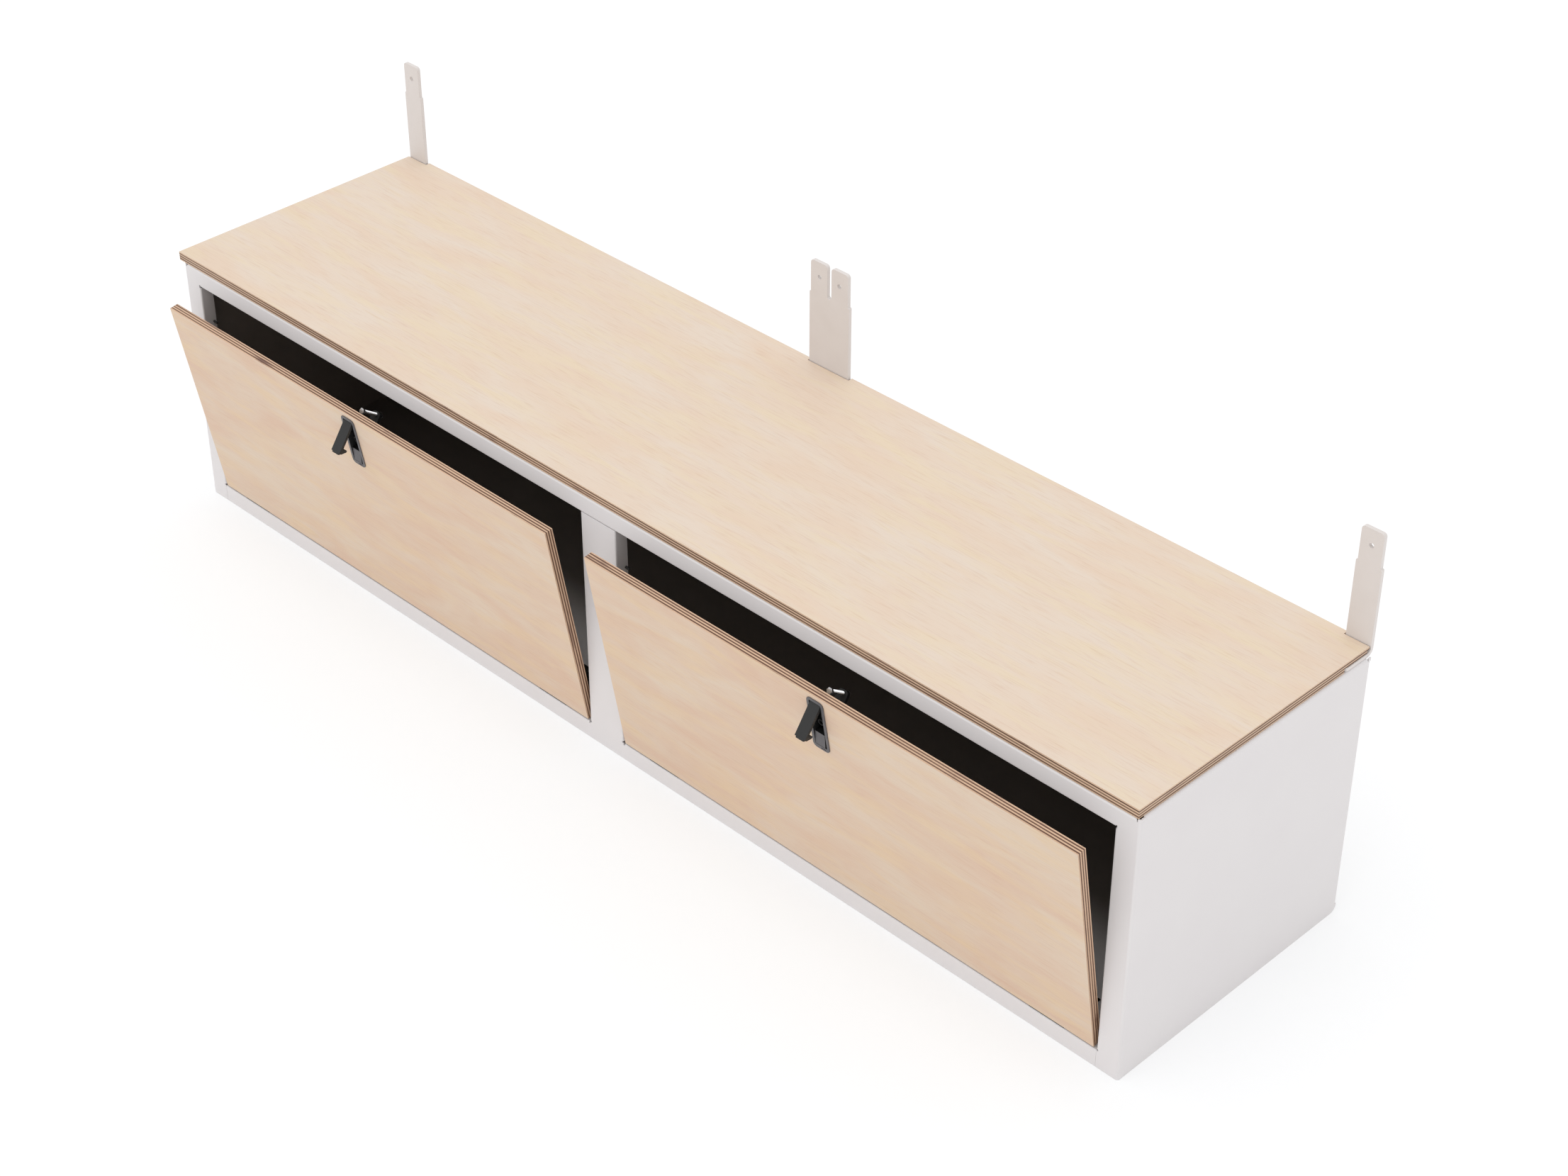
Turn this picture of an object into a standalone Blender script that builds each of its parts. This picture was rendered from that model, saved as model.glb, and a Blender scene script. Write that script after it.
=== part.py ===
"""Van bench cabinet: folded steel body, birch plywood seat board and two drop-down plywood doors.

The origin is the middle of the underside. X runs along the front to the right, Y to the rear, Z up.
Lengths are in metres. Each door is drawn shut, in the frame of its hinge axis, and then swung open.
"""

import bpy
import bmesh
from math import acos, asin, atan2, cos, degrees, pi, radians, sin, tan
from mathutils import Matrix, Vector

# Fits
FIT = 0.0003
OVERRUN = 0.004
LAP = 0.0005
WELD = 0.00001

# Body of folded sheet
BODY_LENGTH = 2.000
BODY_DEPTH = 0.479
BODY_HEIGHT = 0.4445
SHEET = 0.002
BEND_RADIUS = 0.004
RETURN_RADIUS = 0.0025
RELIEF = 0.003
NOTCH_WIDTH = 0.0015
NOTCH_MARGIN = 0.001
FRONT_FLANGE = 0.030
END_FLANGE = 0.048
REAR_FLANGE = 0.025
BACK_FLANGE = 0.062
LOWER_REAR_RADIUS = 0.012
PAN_LIFT = 0.003

# Front openings
STILE_WIDTH = 0.0385
MULLION_WIDTH = 0.074
BOTTOM_RAIL = 0.0293
TOP_RAIL = 0.0306
RETURN_DEPTH = 0.0224
STRIKE_LIP = 0.011

# Bearer under the floor
BEARER_WIDTH = 0.050
BEARER_FLANGE = 0.016

# Seat board
BOARD_THICKNESS = 0.015
BOARD_LEFT_OVERHANG = 0.012
BOARD_RIGHT_INSET = 0.0043
BOARD_FRONT_INSET = 0.0006
BOARD_REAR_OVERHANG = 0.0081
NOTCH_CLEARANCE = 0.0022
ARRIS = 0.0005

# Mounting brackets of heavy plate
BRACKET_THICKNESS = 0.006
BRACKET_END_INSET = 0.0173
BRACKET_OFFSET = -0.0063
PRONG_WIDTH = 0.041
BRACKET_STANDOFF = 0.001
BRACKET_FOOT = 0.059
BRACKET_BEND = 0.011
BRACKET_TOP = 0.637
SHOULDER_HEIGHT = 0.582
SHOULDER_STEP = 0.0025
SHOULDER_RADIUS = 0.0012
PRONG_CORNER = 0.0055
FOOT_CORNER = 0.005
PRONG_SLOT = 0.0086
MOUNT_HOLE_RADIUS = 0.004
MOUNT_HOLE_HEIGHT = 0.612

# Bracket bolts and nuts
BOLT_RADIUS = 0.003
BOLT_HEAD_RADIUS = 0.006
BOLT_CONE = 0.0033
BOLT_BELOW_NUT = 0.0015
NUT_HEIGHT = 0.005
NUT_FLATS = 0.010
BOLT_ROW = 0.024
BOLT_SPACING = 0.020

# Doors
DOOR_THICKNESS = 0.015
DOOR_SIDE_GAP = 0.005
DOOR_TOP_GAP = 0.0051
DOOR_BOTTOM_GAP = 0.0037
DOOR_OPEN_DEGREES = 9.88

# Door hinges
HINGE_INSET = 0.083
HINGE_WIDTH = 0.060
KNUCKLE_WIDTH = 0.022
KNUCKLE_GAP = 0.0005
KNUCKLE_RADIUS = 0.0015
HINGE_PIN_RADIUS = 0.0008
HINGE_PIN_FIT = 0.00015
HINGE_SETBACK = 0.002
LEAF = 0.001
LEAF_HEIGHT = 0.052
BASE_LENGTH = 0.076
BASE_BLOCK_WIDTH = 0.020
BASE_BLOCK_FRONT = 0.024
BASE_BLOCK_HEIGHT = 0.018
BASE_BLOCK_SLOPE = 0.010
BASE_BLOCK_CORNER = 0.003

# Wood screws
SCREW_RADIUS = 0.0015
SCREW_HEAD_RADIUS = 0.0033
SCREW_HEAD_HEIGHT = 0.0015
SCREW_LENGTH = 0.010
SCREW_BORE = 0.0018
SEAT_SCREW_INSET = 0.075

# Door stops
STOP_BELOW_HEAD = 0.0699
STOP_REACH = 0.009
STOP_RADIUS = 0.002

# Flush lever latch, heights from the door's bottom edge
LATCH_BELOW_TOP = 0.0065
BEZEL_WIDTH = 0.031
BEZEL_HEIGHT = 0.0935
BEZEL_CORNER = 0.007
BEZEL_PROUD = 0.0015
TUB_WALL = 0.002
TUB_WIDTH = 0.026
TUB_DEPTH = 0.017
TUB_FLOOR = 0.002
POCKET_BELOW_TOP = 0.0045
POCKET_HEIGHT = 0.0825
POCKET_CORNER = 0.002
REAR_WINDOW = 0.034
SCOOP_LENGTH = 0.022
SCOOP_START = 0.0003
SCOOP_END = 0.0027
SCOOP_GAP = 0.0036
RING_RADIUS = 0.005
RING_WALL = 0.0009
RING_ABOVE_SCOOP = 0.0185
RING_TOP = 0.0045
KEY_SLOT_WIDTH = 0.008
KEY_SLOT_HEIGHT = 0.002
KEY_SLOT_DEPTH = 0.0008
KEY_SLOT_BELOW = 0.0022

# Latch lever with its rear arm
LEVER_OPEN_DEGREES = 44.6
LEVER_WIDTH = 0.0193
LEVER_THICKNESS = 0.0045
LEVER_LENGTH = 0.0515
LEVER_ROOT = 0.0052
PIVOT_BELOW_POCKET = 0.0057
HOOK_REACH = 0.0085
HOOK_HEIGHT = 0.008
HOOK_TIP = 0.003
TONGUE_WIDTH = 0.0136
TONGUE_LENGTH = 0.002
ARM_WIDTH = 0.018
ARM_THICKNESS = 0.006
ARM_REACH = 0.044
ARM_FILLET = 0.003
ARM_CROWN = 0.0055
ARM_CORNER = 0.006
LATCH_PIN_RADIUS = 0.0015

# Adjusting bolt of the latch
STRIKE_BITE = 0.003
ADJUST_HEAD_FLATS = 0.0085
ADJUST_HEAD_HEIGHT = 0.004
ADJUST_STANDOFF = 0.0015
ADJUST_BEYOND_NUT = 0.0015

# Clamp behind the latch
CLAMP_THICKNESS = 0.0016
CLAMP_HALF_WIDTH = 0.028
CLAMP_HEIGHT = 0.018
CLAMP_ABOVE_TUB = 0.002
CLAMP_SCREW_SPACING = 0.010
CLAMP_SCREW_RADIUS = 0.00125
CLAMP_SCREW_LENGTH = 0.008

# Smoothness of round shapes
BEND_STEPS = 3
CORNER_STEPS = 4
ROUND_STEPS = 16
SCREW_STEPS = 12
HEX_STEPS = 6

# Places worked out from the sizes above
HALF = BODY_LENGTH / 2
FRONT = -BODY_DEPTH / 2
REAR = BODY_DEPTH / 2
HEAD = BODY_HEIGHT - TOP_RAIL
JAMB = HALF - STILE_WIDTH
MULLION = MULLION_WIDTH / 2
FLANGE_START = BEND_RADIUS + NOTCH_WIDTH + NOTCH_MARGIN
NOTCH_DEPTH = BEND_RADIUS + LAP
BACK_FACE = REAR - SHEET - FIT
BOARD_BOTTOM = BODY_HEIGHT + FIT
BOARD_TOP = BOARD_BOTTOM + BOARD_THICKNESS
BRACKET_BOTTOM = BODY_HEIGHT + FIT
BRACKET_FRONT_FACE = REAR + BRACKET_STANDOFF
BRACKET_REAR_FACE = BRACKET_FRONT_FACE + BRACKET_THICKNESS
DOOR_BOTTOM = BOTTOM_RAIL + DOOR_BOTTOM_GAP
DOOR_TOP = HEAD - DOOR_TOP_GAP
DOOR_WIDTH = JAMB - MULLION - 2 * DOOR_SIDE_GAP
DOOR_HEIGHT = DOOR_TOP - DOOR_BOTTOM
DOOR_CENTRE = (JAMB + MULLION) / 2
HINGE_Y = FRONT + HINGE_SETBACK
HINGE_Z = BOTTOM_RAIL + FIT + KNUCKLE_RADIUS
DOOR_FACE = -HINGE_SETBACK
DOOR_BACK = DOOR_FACE + DOOR_THICKNESS
DOOR_LOW = DOOR_BOTTOM - HINGE_Z
DOOR_HIGH = DOOR_LOW + DOOR_HEIGHT
STRIKE_DEPTH = DOOR_THICKNESS + ADJUST_STANDOFF - FIT
STOP_HEIGHT = HEAD - STOP_BELOW_HEAD
BRACKET_PITCH = HALF - BRACKET_END_INSET
BEZEL_TOP = DOOR_HIGH - LATCH_BELOW_TOP
BEZEL_BOTTOM = BEZEL_TOP - BEZEL_HEIGHT
POCKET_TOP = BEZEL_TOP - POCKET_BELOW_TOP
POCKET_BOTTOM = POCKET_TOP - POCKET_HEIGHT
BRACKET_CENTRES = [BRACKET_OFFSET - BRACKET_PITCH, BRACKET_OFFSET, BRACKET_OFFSET + BRACKET_PITCH]
BRACKET_NAMES = ["bracket_left", "bracket_centre", "bracket_right"]
FOOT_FRONT = BRACKET_REAR_FACE - BRACKET_FOOT
BEZEL_FACE = DOOR_FACE - BEZEL_PROUD
TUB_BACK = DOOR_FACE + TUB_DEPTH
PIVOT_Y = BEZEL_FACE + LEVER_ROOT
PIVOT_Z = POCKET_TOP - PIVOT_BELOW_POCKET
LEAF_TURN = degrees(asin((KNUCKLE_RADIUS - LEAF) / KNUCKLE_RADIUS))
ADJUST_Z = HEAD - HINGE_Z - PIVOT_Z - (ADJUST_HEAD_FLATS / 2 - STRIKE_BITE)
ADJUST_FACE = DOOR_BACK + ADJUST_STANDOFF - PIVOT_Y
LEVER_BACK = LEVER_THICKNESS - LEVER_ROOT
ARM_BACK = ARM_REACH + ARM_THICKNESS


def new_collection(name):
    """Adds a collection to the scene."""
    collection = bpy.data.collections.new(name)
    bpy.context.scene.collection.children.link(collection)
    return collection


for old in list(bpy.data.objects):
    bpy.data.objects.remove(old, do_unlink=True)
PARTS = new_collection("van_bench_cabinet")
CUTTERS = new_collection("cutters")


def make_material(name, colour, roughness, metallic=0.0):
    """One plain finish with its colour, roughness and metallic value."""
    material = bpy.data.materials.new(name)
    material.use_nodes = True
    shader = material.node_tree.nodes["Principled BSDF"]
    shader.inputs["Base Color"].default_value = (*colour, 1.0)
    shader.inputs["Roughness"].default_value = roughness
    shader.inputs["Metallic"].default_value = metallic
    material.diffuse_color = (*colour, 1.0)
    return material


def add_part(name, mesh, finish, parent=None):
    """Puts a mesh into the object as one named piece with a finish of its own."""
    colour, roughness, metallic = finish
    mesh.name = name
    mesh.materials.clear()
    mesh.materials.append(make_material(name, colour, roughness, metallic))
    part = bpy.data.objects.new(name, mesh)
    part.parent = parent
    PARTS.objects.link(part)
    return part


def add_copies(name, mesh, places, finish, parent=None):
    """Repeats a piece as numbered objects, one at each placing matrix."""
    for index, place in enumerate(places, start=1):
        part = add_part(f"{name}_{index}", mesh.copy(), finish, parent)
        part.matrix_local = place


def add_cutter(name, mesh, parent=None):
    """Puts a mesh into the scene as a hidden guide for a cut or a join."""
    cutter = bpy.data.objects.new(name, mesh)
    cutter.parent = parent
    cutter.hide_render = True
    cutter.display_type = "WIRE"
    CUTTERS.objects.link(cutter)
    return cutter


def combine(part, mesh, operation):
    """Cuts, joins or intersects a piece with another mesh in the same frame."""
    tool = add_cutter(part.name + "_tool", mesh, part.parent)
    step = part.modifiers.new(operation.lower(), "BOOLEAN")
    step.object = tool
    step.operation = operation
    step.solver = "EXACT"
    return tool


def add_axis(name, place, parent=None):
    """An empty on a joint's axis."""
    axis = bpy.data.objects.new(name, None)
    axis.location = place
    axis.parent = parent
    PARTS.objects.link(axis)
    return axis


# Outlines

def circle(u, v, radius, steps=ROUND_STEPS):
    """Points round a circle."""
    turns = [2 * pi * i / steps for i in range(steps)]
    return [(u + radius * cos(turn), v + radius * sin(turn)) for turn in turns]


def arc(u, v, radius, start, end, steps=CORNER_STEPS):
    """Points along an arc, its ends included, angles in degrees."""
    turns = [radians(start + (end - start) * i / steps) for i in range(steps + 1)]
    return [(u + radius * cos(turn), v + radius * sin(turn)) for turn in turns]


def rounded(corners):
    """An outline from (u, v, radius) corners, each rounded by its radius."""
    points = []
    for index, (u, v, radius) in enumerate(corners):
        here = Vector((u, v))
        if radius == 0:
            points.append((u, v))
            continue
        before = (Vector(corners[index - 1][:2]) - here).normalized()
        after = (Vector(corners[(index + 1) % len(corners)][:2]) - here).normalized()
        half_turn = acos(max(-1.0, min(1.0, before.dot(after)))) / 2
        reach = radius / tan(half_turn)
        centre = here + (before + after).normalized() * radius / sin(half_turn)
        first = here + before * reach - centre
        last = here + after * reach - centre
        start = atan2(first.y, first.x)
        sweep = (atan2(last.y, last.x) - start + pi) % (2 * pi) - pi
        for step in range(CORNER_STEPS + 1):
            turn = start + sweep * step / CORNER_STEPS
            points.append((centre.x + radius * cos(turn), centre.y + radius * sin(turn)))
    return points


def rectangle(u_low, u_high, v_low, v_high, radius=0.0):
    """A rectangle's outline, with its corners rounded if a radius is given."""
    return rounded([(u_low, v_low, radius), (u_high, v_low, radius),
                    (u_high, v_high, radius), (u_low, v_high, radius)])


# Solids

PLANE_AXES = {
    "XY": Matrix(((1, 0, 0, 0), (0, 1, 0, 0), (0, 0, 1, 0), (0, 0, 0, 1))),
    "XZ": Matrix(((1, 0, 0, 0), (0, 0, -1, 0), (0, 1, 0, 0), (0, 0, 0, 1))),
    "YZ": Matrix(((0, 0, 1, 0), (1, 0, 0, 0), (0, 1, 0, 0), (0, 0, 0, 1))),
}
AXIS_TURNS = {
    "X": Matrix.Rotation(pi / 2, 4, "Y"),
    "Y": Matrix.Rotation(-pi / 2, 4, "X"),
    "Z": Matrix.Identity(4),
}


def finished(bm):
    """Turns a bmesh of closed bodies into a mesh with its faces pointing out."""
    bmesh.ops.recalc_face_normals(bm, faces=bm.faces)
    mesh = bpy.data.meshes.new("solid")
    bm.to_mesh(mesh)
    bm.free()
    return mesh


def evaluated(holder):
    """The mesh of an object with its modifiers, in its own frame."""
    bpy.context.view_layer.update()
    depsgraph = bpy.context.evaluated_depsgraph_get()
    mesh = bpy.data.meshes.new_from_object(holder.evaluated_get(depsgraph))
    bpy.data.objects.remove(holder)
    return mesh


def prism(loops, low, high, plane):
    """A flat outline, its later loops being holes, made thick from low to high across its plane."""
    curve = bpy.data.curves.new("outline", "CURVE")
    curve.dimensions = "2D"
    curve.fill_mode = "BOTH"
    curve.extrude = (high - low) / 2
    for loop in loops:
        spline = curve.splines.new("POLY")
        spline.points.add(len(loop) - 1)
        for point, (u, v) in zip(spline.points, loop):
            point.co = (u, v, 0, 1)
        spline.use_cyclic_u = True
    holder = bpy.data.objects.new("outline", curve)
    CUTTERS.objects.link(holder)
    flat = evaluated(holder)
    bm = bmesh.new()
    bm.from_mesh(flat)
    bmesh.ops.remove_doubles(bm, verts=bm.verts, dist=WELD)
    middle = (low + high) / 2
    lift = -middle if plane == "XZ" else middle
    bm.transform(PLANE_AXES[plane] @ Matrix.Translation((0, 0, lift)))
    return finished(bm)


def block(low, high):
    """A box between its lowest and highest corners."""
    low, high = Vector(low), Vector(high)
    bm = bmesh.new()
    place = Matrix.Translation((low + high) / 2) @ Matrix.Diagonal((*(high - low), 1))
    bmesh.ops.create_cube(bm, size=1, matrix=place)
    return finished(bm)


def cylinder(centre, radius, length, axis, steps=ROUND_STEPS):
    """A cylinder, or a prism of few sides, about its centre."""
    bm = bmesh.new()
    place = Matrix.Translation(centre) @ AXIS_TURNS[axis]
    bmesh.ops.create_cone(bm, cap_ends=True, segments=steps, radius1=radius, radius2=radius,
                          depth=length, matrix=place)
    return finished(bm)


def turned(profile, steps=SCREW_STEPS):
    """A turned shape about Z from its (radius, height) profile, top to bottom."""
    bm = bmesh.new()
    points = [bm.verts.new((radius, 0, height)) for radius, height in profile]
    for first, second in zip(points, points[1:]):
        bm.edges.new((first, second))
    mesh = bpy.data.meshes.new("profile")
    bm.to_mesh(mesh)
    bm.free()
    holder = bpy.data.objects.new("profile", mesh)
    CUTTERS.objects.link(holder)
    spin = holder.modifiers.new("turn", "SCREW")
    spin.steps = steps
    spin.render_steps = steps
    spin.use_merge_vertices = True
    spin.merge_threshold = WELD
    return evaluated(holder)


def copies(mesh, places):
    """One mesh that holds a copy of another at each placing matrix."""
    bm = bmesh.new()
    for place in places:
        copy = mesh.copy()
        copy.transform(place)
        bm.from_mesh(copy)
        bpy.data.meshes.remove(copy)
    return finished(bm)


def merged(meshes):
    """One mesh that holds several meshes as they are."""
    bm = bmesh.new()
    for mesh in meshes:
        bm.from_mesh(mesh)
    return finished(bm)


# Folded sheets

def panel(bm, plane, level, us, vs, gone=None):
    """One flat of a folded sheet: a grid with lines at the given stops, less the cells that are gone."""
    us = sorted(set(us))
    vs = sorted(set(vs))
    grid = bmesh.ops.create_grid(bm, x_segments=len(us) - 1, y_segments=len(vs) - 1, size=1)
    verts = grid["verts"]
    columns = sorted({round(v.co.x, 4) for v in verts})
    rows = sorted({round(v.co.y, 4) for v in verts})
    flip = -1 if plane == "XZ" else 1
    for v in verts:
        u = us[columns.index(round(v.co.x, 4))]
        w = vs[rows.index(round(v.co.y, 4))]
        v.co = Vector((u, w, flip * level))
    if gone:
        faces = {face for v in verts for face in v.link_faces}
        lost = [face for face in faces if gone(*face.calc_center_median().xy)]
        kept = [v for v in verts if any(face not in lost for face in v.link_faces)]
        bmesh.ops.delete(bm, geom=lost, context="FACES")
        verts = [v for v in kept if v.is_valid]
    bmesh.ops.transform(bm, matrix=PLANE_AXES[plane], verts=verts)
    return verts


def folded_sheet(bm, facing, soft_fold):
    """Rounds a sheet's folds; the large bend radius is for folds where soft_fold is true of the middle."""
    bmesh.ops.remove_doubles(bm, verts=bm.verts, dist=WELD)
    bmesh.ops.recalc_face_normals(bm, faces=bm.faces)
    for radius in (BEND_RADIUS, RETURN_RADIUS):
        folds = []
        for edge in bm.edges:
            middle = (edge.verts[0].co + edge.verts[1].co) / 2
            if len(edge.link_faces) != 2 or edge.calc_face_angle() < pi / 3:
                continue
            if radius == RETURN_RADIUS or soft_fold(middle):
                folds.append(edge)
        bmesh.ops.bevel(bm, geom=folds, offset=radius, offset_type="OFFSET", segments=BEND_STEPS,
                        profile=0.5, affect="EDGES", clamp_overlap=False)
    facing = Vector(facing)
    bmesh.ops.recalc_face_normals(bm, faces=bm.faces)
    outermost = max(bm.faces, key=lambda face: face.calc_center_median().dot(facing))
    if outermost.normal.dot(facing) < 0:
        bmesh.ops.reverse_faces(bm, faces=bm.faces)
    mesh = bpy.data.meshes.new("sheet")
    bm.to_mesh(mesh)
    bm.free()
    return mesh


def thicken(part):
    """Gives a folded surface the sheet's thickness on its inner side."""
    step = part.modifiers.new("sheet", "SOLIDIFY")
    step.thickness = SHEET
    step.offset = -1
    step.use_even_offset = True
    step.use_quality_normals = True


def both_sides(values):
    """Each value and its mirror image."""
    return [sign * value for value in values for sign in (-1, 1)]


# Finishes: colour, roughness, metallic
POWDER_COAT = ((0.76, 0.74, 0.73), 0.45, 0.0)
BIRCH = ((0.80, 0.66, 0.50), 0.55, 0.0)
BLACK_PLASTIC = ((0.03, 0.03, 0.03), 0.45, 0.0)
BLACK_STEEL = ((0.02, 0.02, 0.02), 0.40, 0.6)
ZINC = ((0.55, 0.55, 0.56), 0.30, 1.0)
RUBBER = ((0.03, 0.03, 0.03), 0.80, 0.0)


def make_outer_shell():
    """One sheet: both ends, the front stiles and the top rail, with its flanges and the strike lip."""
    bm = bmesh.new()
    sill = BOTTOM_RAIL + RELIEF
    flange_end = BODY_HEIGHT - FLANGE_START
    rear_start = LOWER_REAR_RADIUS + NOTCH_WIDTH + NOTCH_MARGIN
    heights = [0, rear_start - NOTCH_WIDTH, rear_start, BOTTOM_RAIL, sill, HEAD - RELIEF, HEAD,
               HEAD + RELIEF, flange_end, flange_end + NOTCH_WIDTH, BODY_HEIGHT - NOTCH_DEPTH, BODY_HEIGHT]
    top_ends = [HALF - FLANGE_START, HALF - FLANGE_START + NOTCH_WIDTH]

    def front_gone(x, z):
        x = abs(x)
        opening = x < JAMB and z < HEAD
        corner = JAMB < x < JAMB + RELIEF and HEAD - RELIEF < z < HEAD + RELIEF
        foot = JAMB < x < JAMB + RELIEF and BOTTOM_RAIL < z < sill
        notch = top_ends[0] < x < top_ends[1] and z > BODY_HEIGHT - NOTCH_DEPTH
        return opening or corner or foot or notch

    widths = both_sides([JAMB, JAMB + RELIEF, *top_ends, HALF])
    panel(bm, "XZ", FRONT, widths, heights, front_gone)

    def end_gone(y, z):
        high = z > BODY_HEIGHT - NOTCH_DEPTH
        at_front = FRONT + FLANGE_START - NOTCH_WIDTH < y < FRONT + FLANGE_START
        at_rear = REAR - FLANGE_START < y < REAR - FLANGE_START + NOTCH_WIDTH
        rear_edge = y > REAR - NOTCH_DEPTH
        upper = flange_end < z < flange_end + NOTCH_WIDTH
        lower = rear_start - NOTCH_WIDTH < z < rear_start
        return (high and (at_front or at_rear)) or (rear_edge and (upper or lower))

    depths = [FRONT, FRONT + FLANGE_START - NOTCH_WIDTH, FRONT + FLANGE_START, REAR - FLANGE_START,
              REAR - FLANGE_START + NOTCH_WIDTH, REAR - NOTCH_DEPTH, REAR]
    for side in (-1, 1):
        panel(bm, "YZ", side * HALF, depths, heights, end_gone)
        flange = panel(bm, "XY", BODY_HEIGHT, [side * HALF, side * (HALF - END_FLANGE)],
                       [FRONT + FLANGE_START, REAR - FLANGE_START])
        for v in flange:
            if abs(v.co.x) < HALF - LAP and v.co.y < 0:
                v.co.y += END_FLANGE
        rear_heights = [z for z in heights if rear_start <= z <= flange_end]
        panel(bm, "XZ", REAR, [side * HALF, side * (HALF - REAR_FLANGE)], rear_heights)
        return_heights = [z for z in heights if sill <= z <= HEAD - RELIEF]
        panel(bm, "YZ", side * JAMB, [FRONT, FRONT + RETURN_DEPTH], return_heights)
    flange = panel(bm, "XY", BODY_HEIGHT, both_sides([JAMB, JAMB + RELIEF, top_ends[0]]),
                   [FRONT, FRONT + FRONT_FLANGE])
    for v in flange:
        if abs(v.co.x) > top_ends[0] - LAP and v.co.y > FRONT + LAP:
            v.co.x -= FRONT_FLANGE * (1 if v.co.x > 0 else -1)
        elif abs(v.co.x) > JAMB - LAP and v.co.y > FRONT + LAP:
            v.co.x -= (FRONT_FLANGE + STILE_WIDTH - FLANGE_START) * (1 if v.co.x > 0 else -1)
    panel(bm, "XY", HEAD, [-JAMB, JAMB], [FRONT, FRONT + STRIKE_DEPTH])
    panel(bm, "XZ", FRONT + STRIKE_DEPTH, [-JAMB, JAMB], [HEAD, HEAD + STRIKE_LIP])

    def soft(place):
        return abs(place.x) > HALF - LAP or place.z > BODY_HEIGHT - LAP

    shell = add_part("outer_shell", folded_sheet(bm, (0, -1, 0), soft), POWDER_COAT)
    thicken(shell)
    corner = [(REAR + OVERRUN, -OVERRUN), (REAR + OVERRUN, LOWER_REAR_RADIUS), (REAR, LOWER_REAR_RADIUS)]
    corner += arc(REAR - LOWER_REAR_RADIUS, LOWER_REAR_RADIUS, LOWER_REAR_RADIUS, 0, -90)[1:]
    corner.append((REAR - LOWER_REAR_RADIUS, -OVERRUN))
    combine(shell, prism([corner], -HALF - OVERRUN, HALF + OVERRUN, "YZ"), "DIFFERENCE")
    return shell


def make_floor_pan():
    """One sheet: the bottom rail, the mullion and the floor, with flanges at the sides and rear."""
    bm = bmesh.new()
    rail_end = JAMB - FIT
    mullion_top = HEAD - FIT
    gap_start = MULLION + RELIEF
    side = HALF - SHEET - FIT
    rear = BACK_FACE - SHEET - FIT

    def front_gone(x, z):
        x = abs(x)
        opening = x > MULLION and z > BOTTOM_RAIL
        below = MULLION < x < gap_start and BOTTOM_RAIL - RELIEF < z < BOTTOM_RAIL
        above = MULLION - RELIEF < x < MULLION and BOTTOM_RAIL < z < BOTTOM_RAIL + RELIEF
        return opening or below or above

    heights = [0, BOTTOM_RAIL - RELIEF, BOTTOM_RAIL, BOTTOM_RAIL + RELIEF, mullion_top]
    widths = both_sides([MULLION - RELIEF, MULLION, gap_start, rail_end])
    panel(bm, "XZ", FRONT, widths, heights, front_gone)
    for sign in (-1, 1):
        panel(bm, "YZ", sign * MULLION, [FRONT, FRONT + RETURN_DEPTH], [BOTTOM_RAIL + RELIEF, mullion_top])

    behind_stile = FRONT + BEND_RADIUS + FIT
    behind_mullion = FRONT + RETURN_DEPTH + RELIEF

    def floor_gone(x, y):
        x = abs(x)
        corner = x > rail_end and (y < behind_stile or y > rear - RELIEF)
        return corner or (x < gap_start and y < behind_mullion)

    depths = [FRONT, behind_stile, behind_mullion, rear - RELIEF, rear]
    panel(bm, "XY", BOTTOM_RAIL, both_sides([gap_start, rail_end, side]), depths, floor_gone)
    for sign in (-1, 1):
        panel(bm, "YZ", sign * side, [behind_stile, behind_mullion, rear - RELIEF], [PAN_LIFT, BOTTOM_RAIL])
    panel(bm, "XZ", rear, both_sides([gap_start, rail_end]), [PAN_LIFT, BOTTOM_RAIL])
    pan = add_part("floor_pan", folded_sheet(bm, (0, -1, 0), lambda place: False), POWDER_COAT)
    thicken(pan)
    return pan


def make_back_panel():
    """One sheet that closes the rear, with a wide top flange under the mounting brackets."""
    bm = bmesh.new()
    edge = HALF - BEND_RADIUS - FIT
    flange_end = HALF - END_FLANGE - FIT
    shoulder = BODY_HEIGHT - NOTCH_DEPTH

    def gone(x, z):
        return abs(x) > flange_end and z > shoulder

    widths = both_sides([flange_end, edge])
    panel(bm, "XZ", BACK_FACE, widths, [LOWER_REAR_RADIUS, shoulder, BODY_HEIGHT], gone)
    panel(bm, "XY", BODY_HEIGHT, both_sides([flange_end]), [BACK_FACE - BACK_FLANGE, BACK_FACE])
    back = add_part("back_panel", folded_sheet(bm, (0, 1, 0), lambda place: True), POWDER_COAT)
    thicken(back)
    return back


def make_floor_bearer():
    """A hat channel under the middle of the floor, from front to rear, that stands on the ground."""
    bm = bmesh.new()
    half = BEARER_WIDTH / 2
    top = BOTTOM_RAIL - SHEET - FIT - SHEET
    ends = [FRONT + SHEET + FIT, BACK_FACE - 2 * SHEET - 2 * FIT - RETURN_RADIUS]
    panel(bm, "XY", 0, [-half, half], ends)
    for sign in (-1, 1):
        panel(bm, "YZ", sign * half, ends, [0, top])
        panel(bm, "XY", top, [sign * half, sign * (half + BEARER_FLANGE)], ends)
    bearer = add_part("floor_bearer", folded_sheet(bm, (0, 0, -1), lambda place: False), POWDER_COAT)
    thicken(bearer)
    return bearer


# Seat board and its mounting brackets

def prong_count(name):
    """The centre bracket is split into two prongs."""
    return 2 if name == "bracket_centre" else 1


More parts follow.
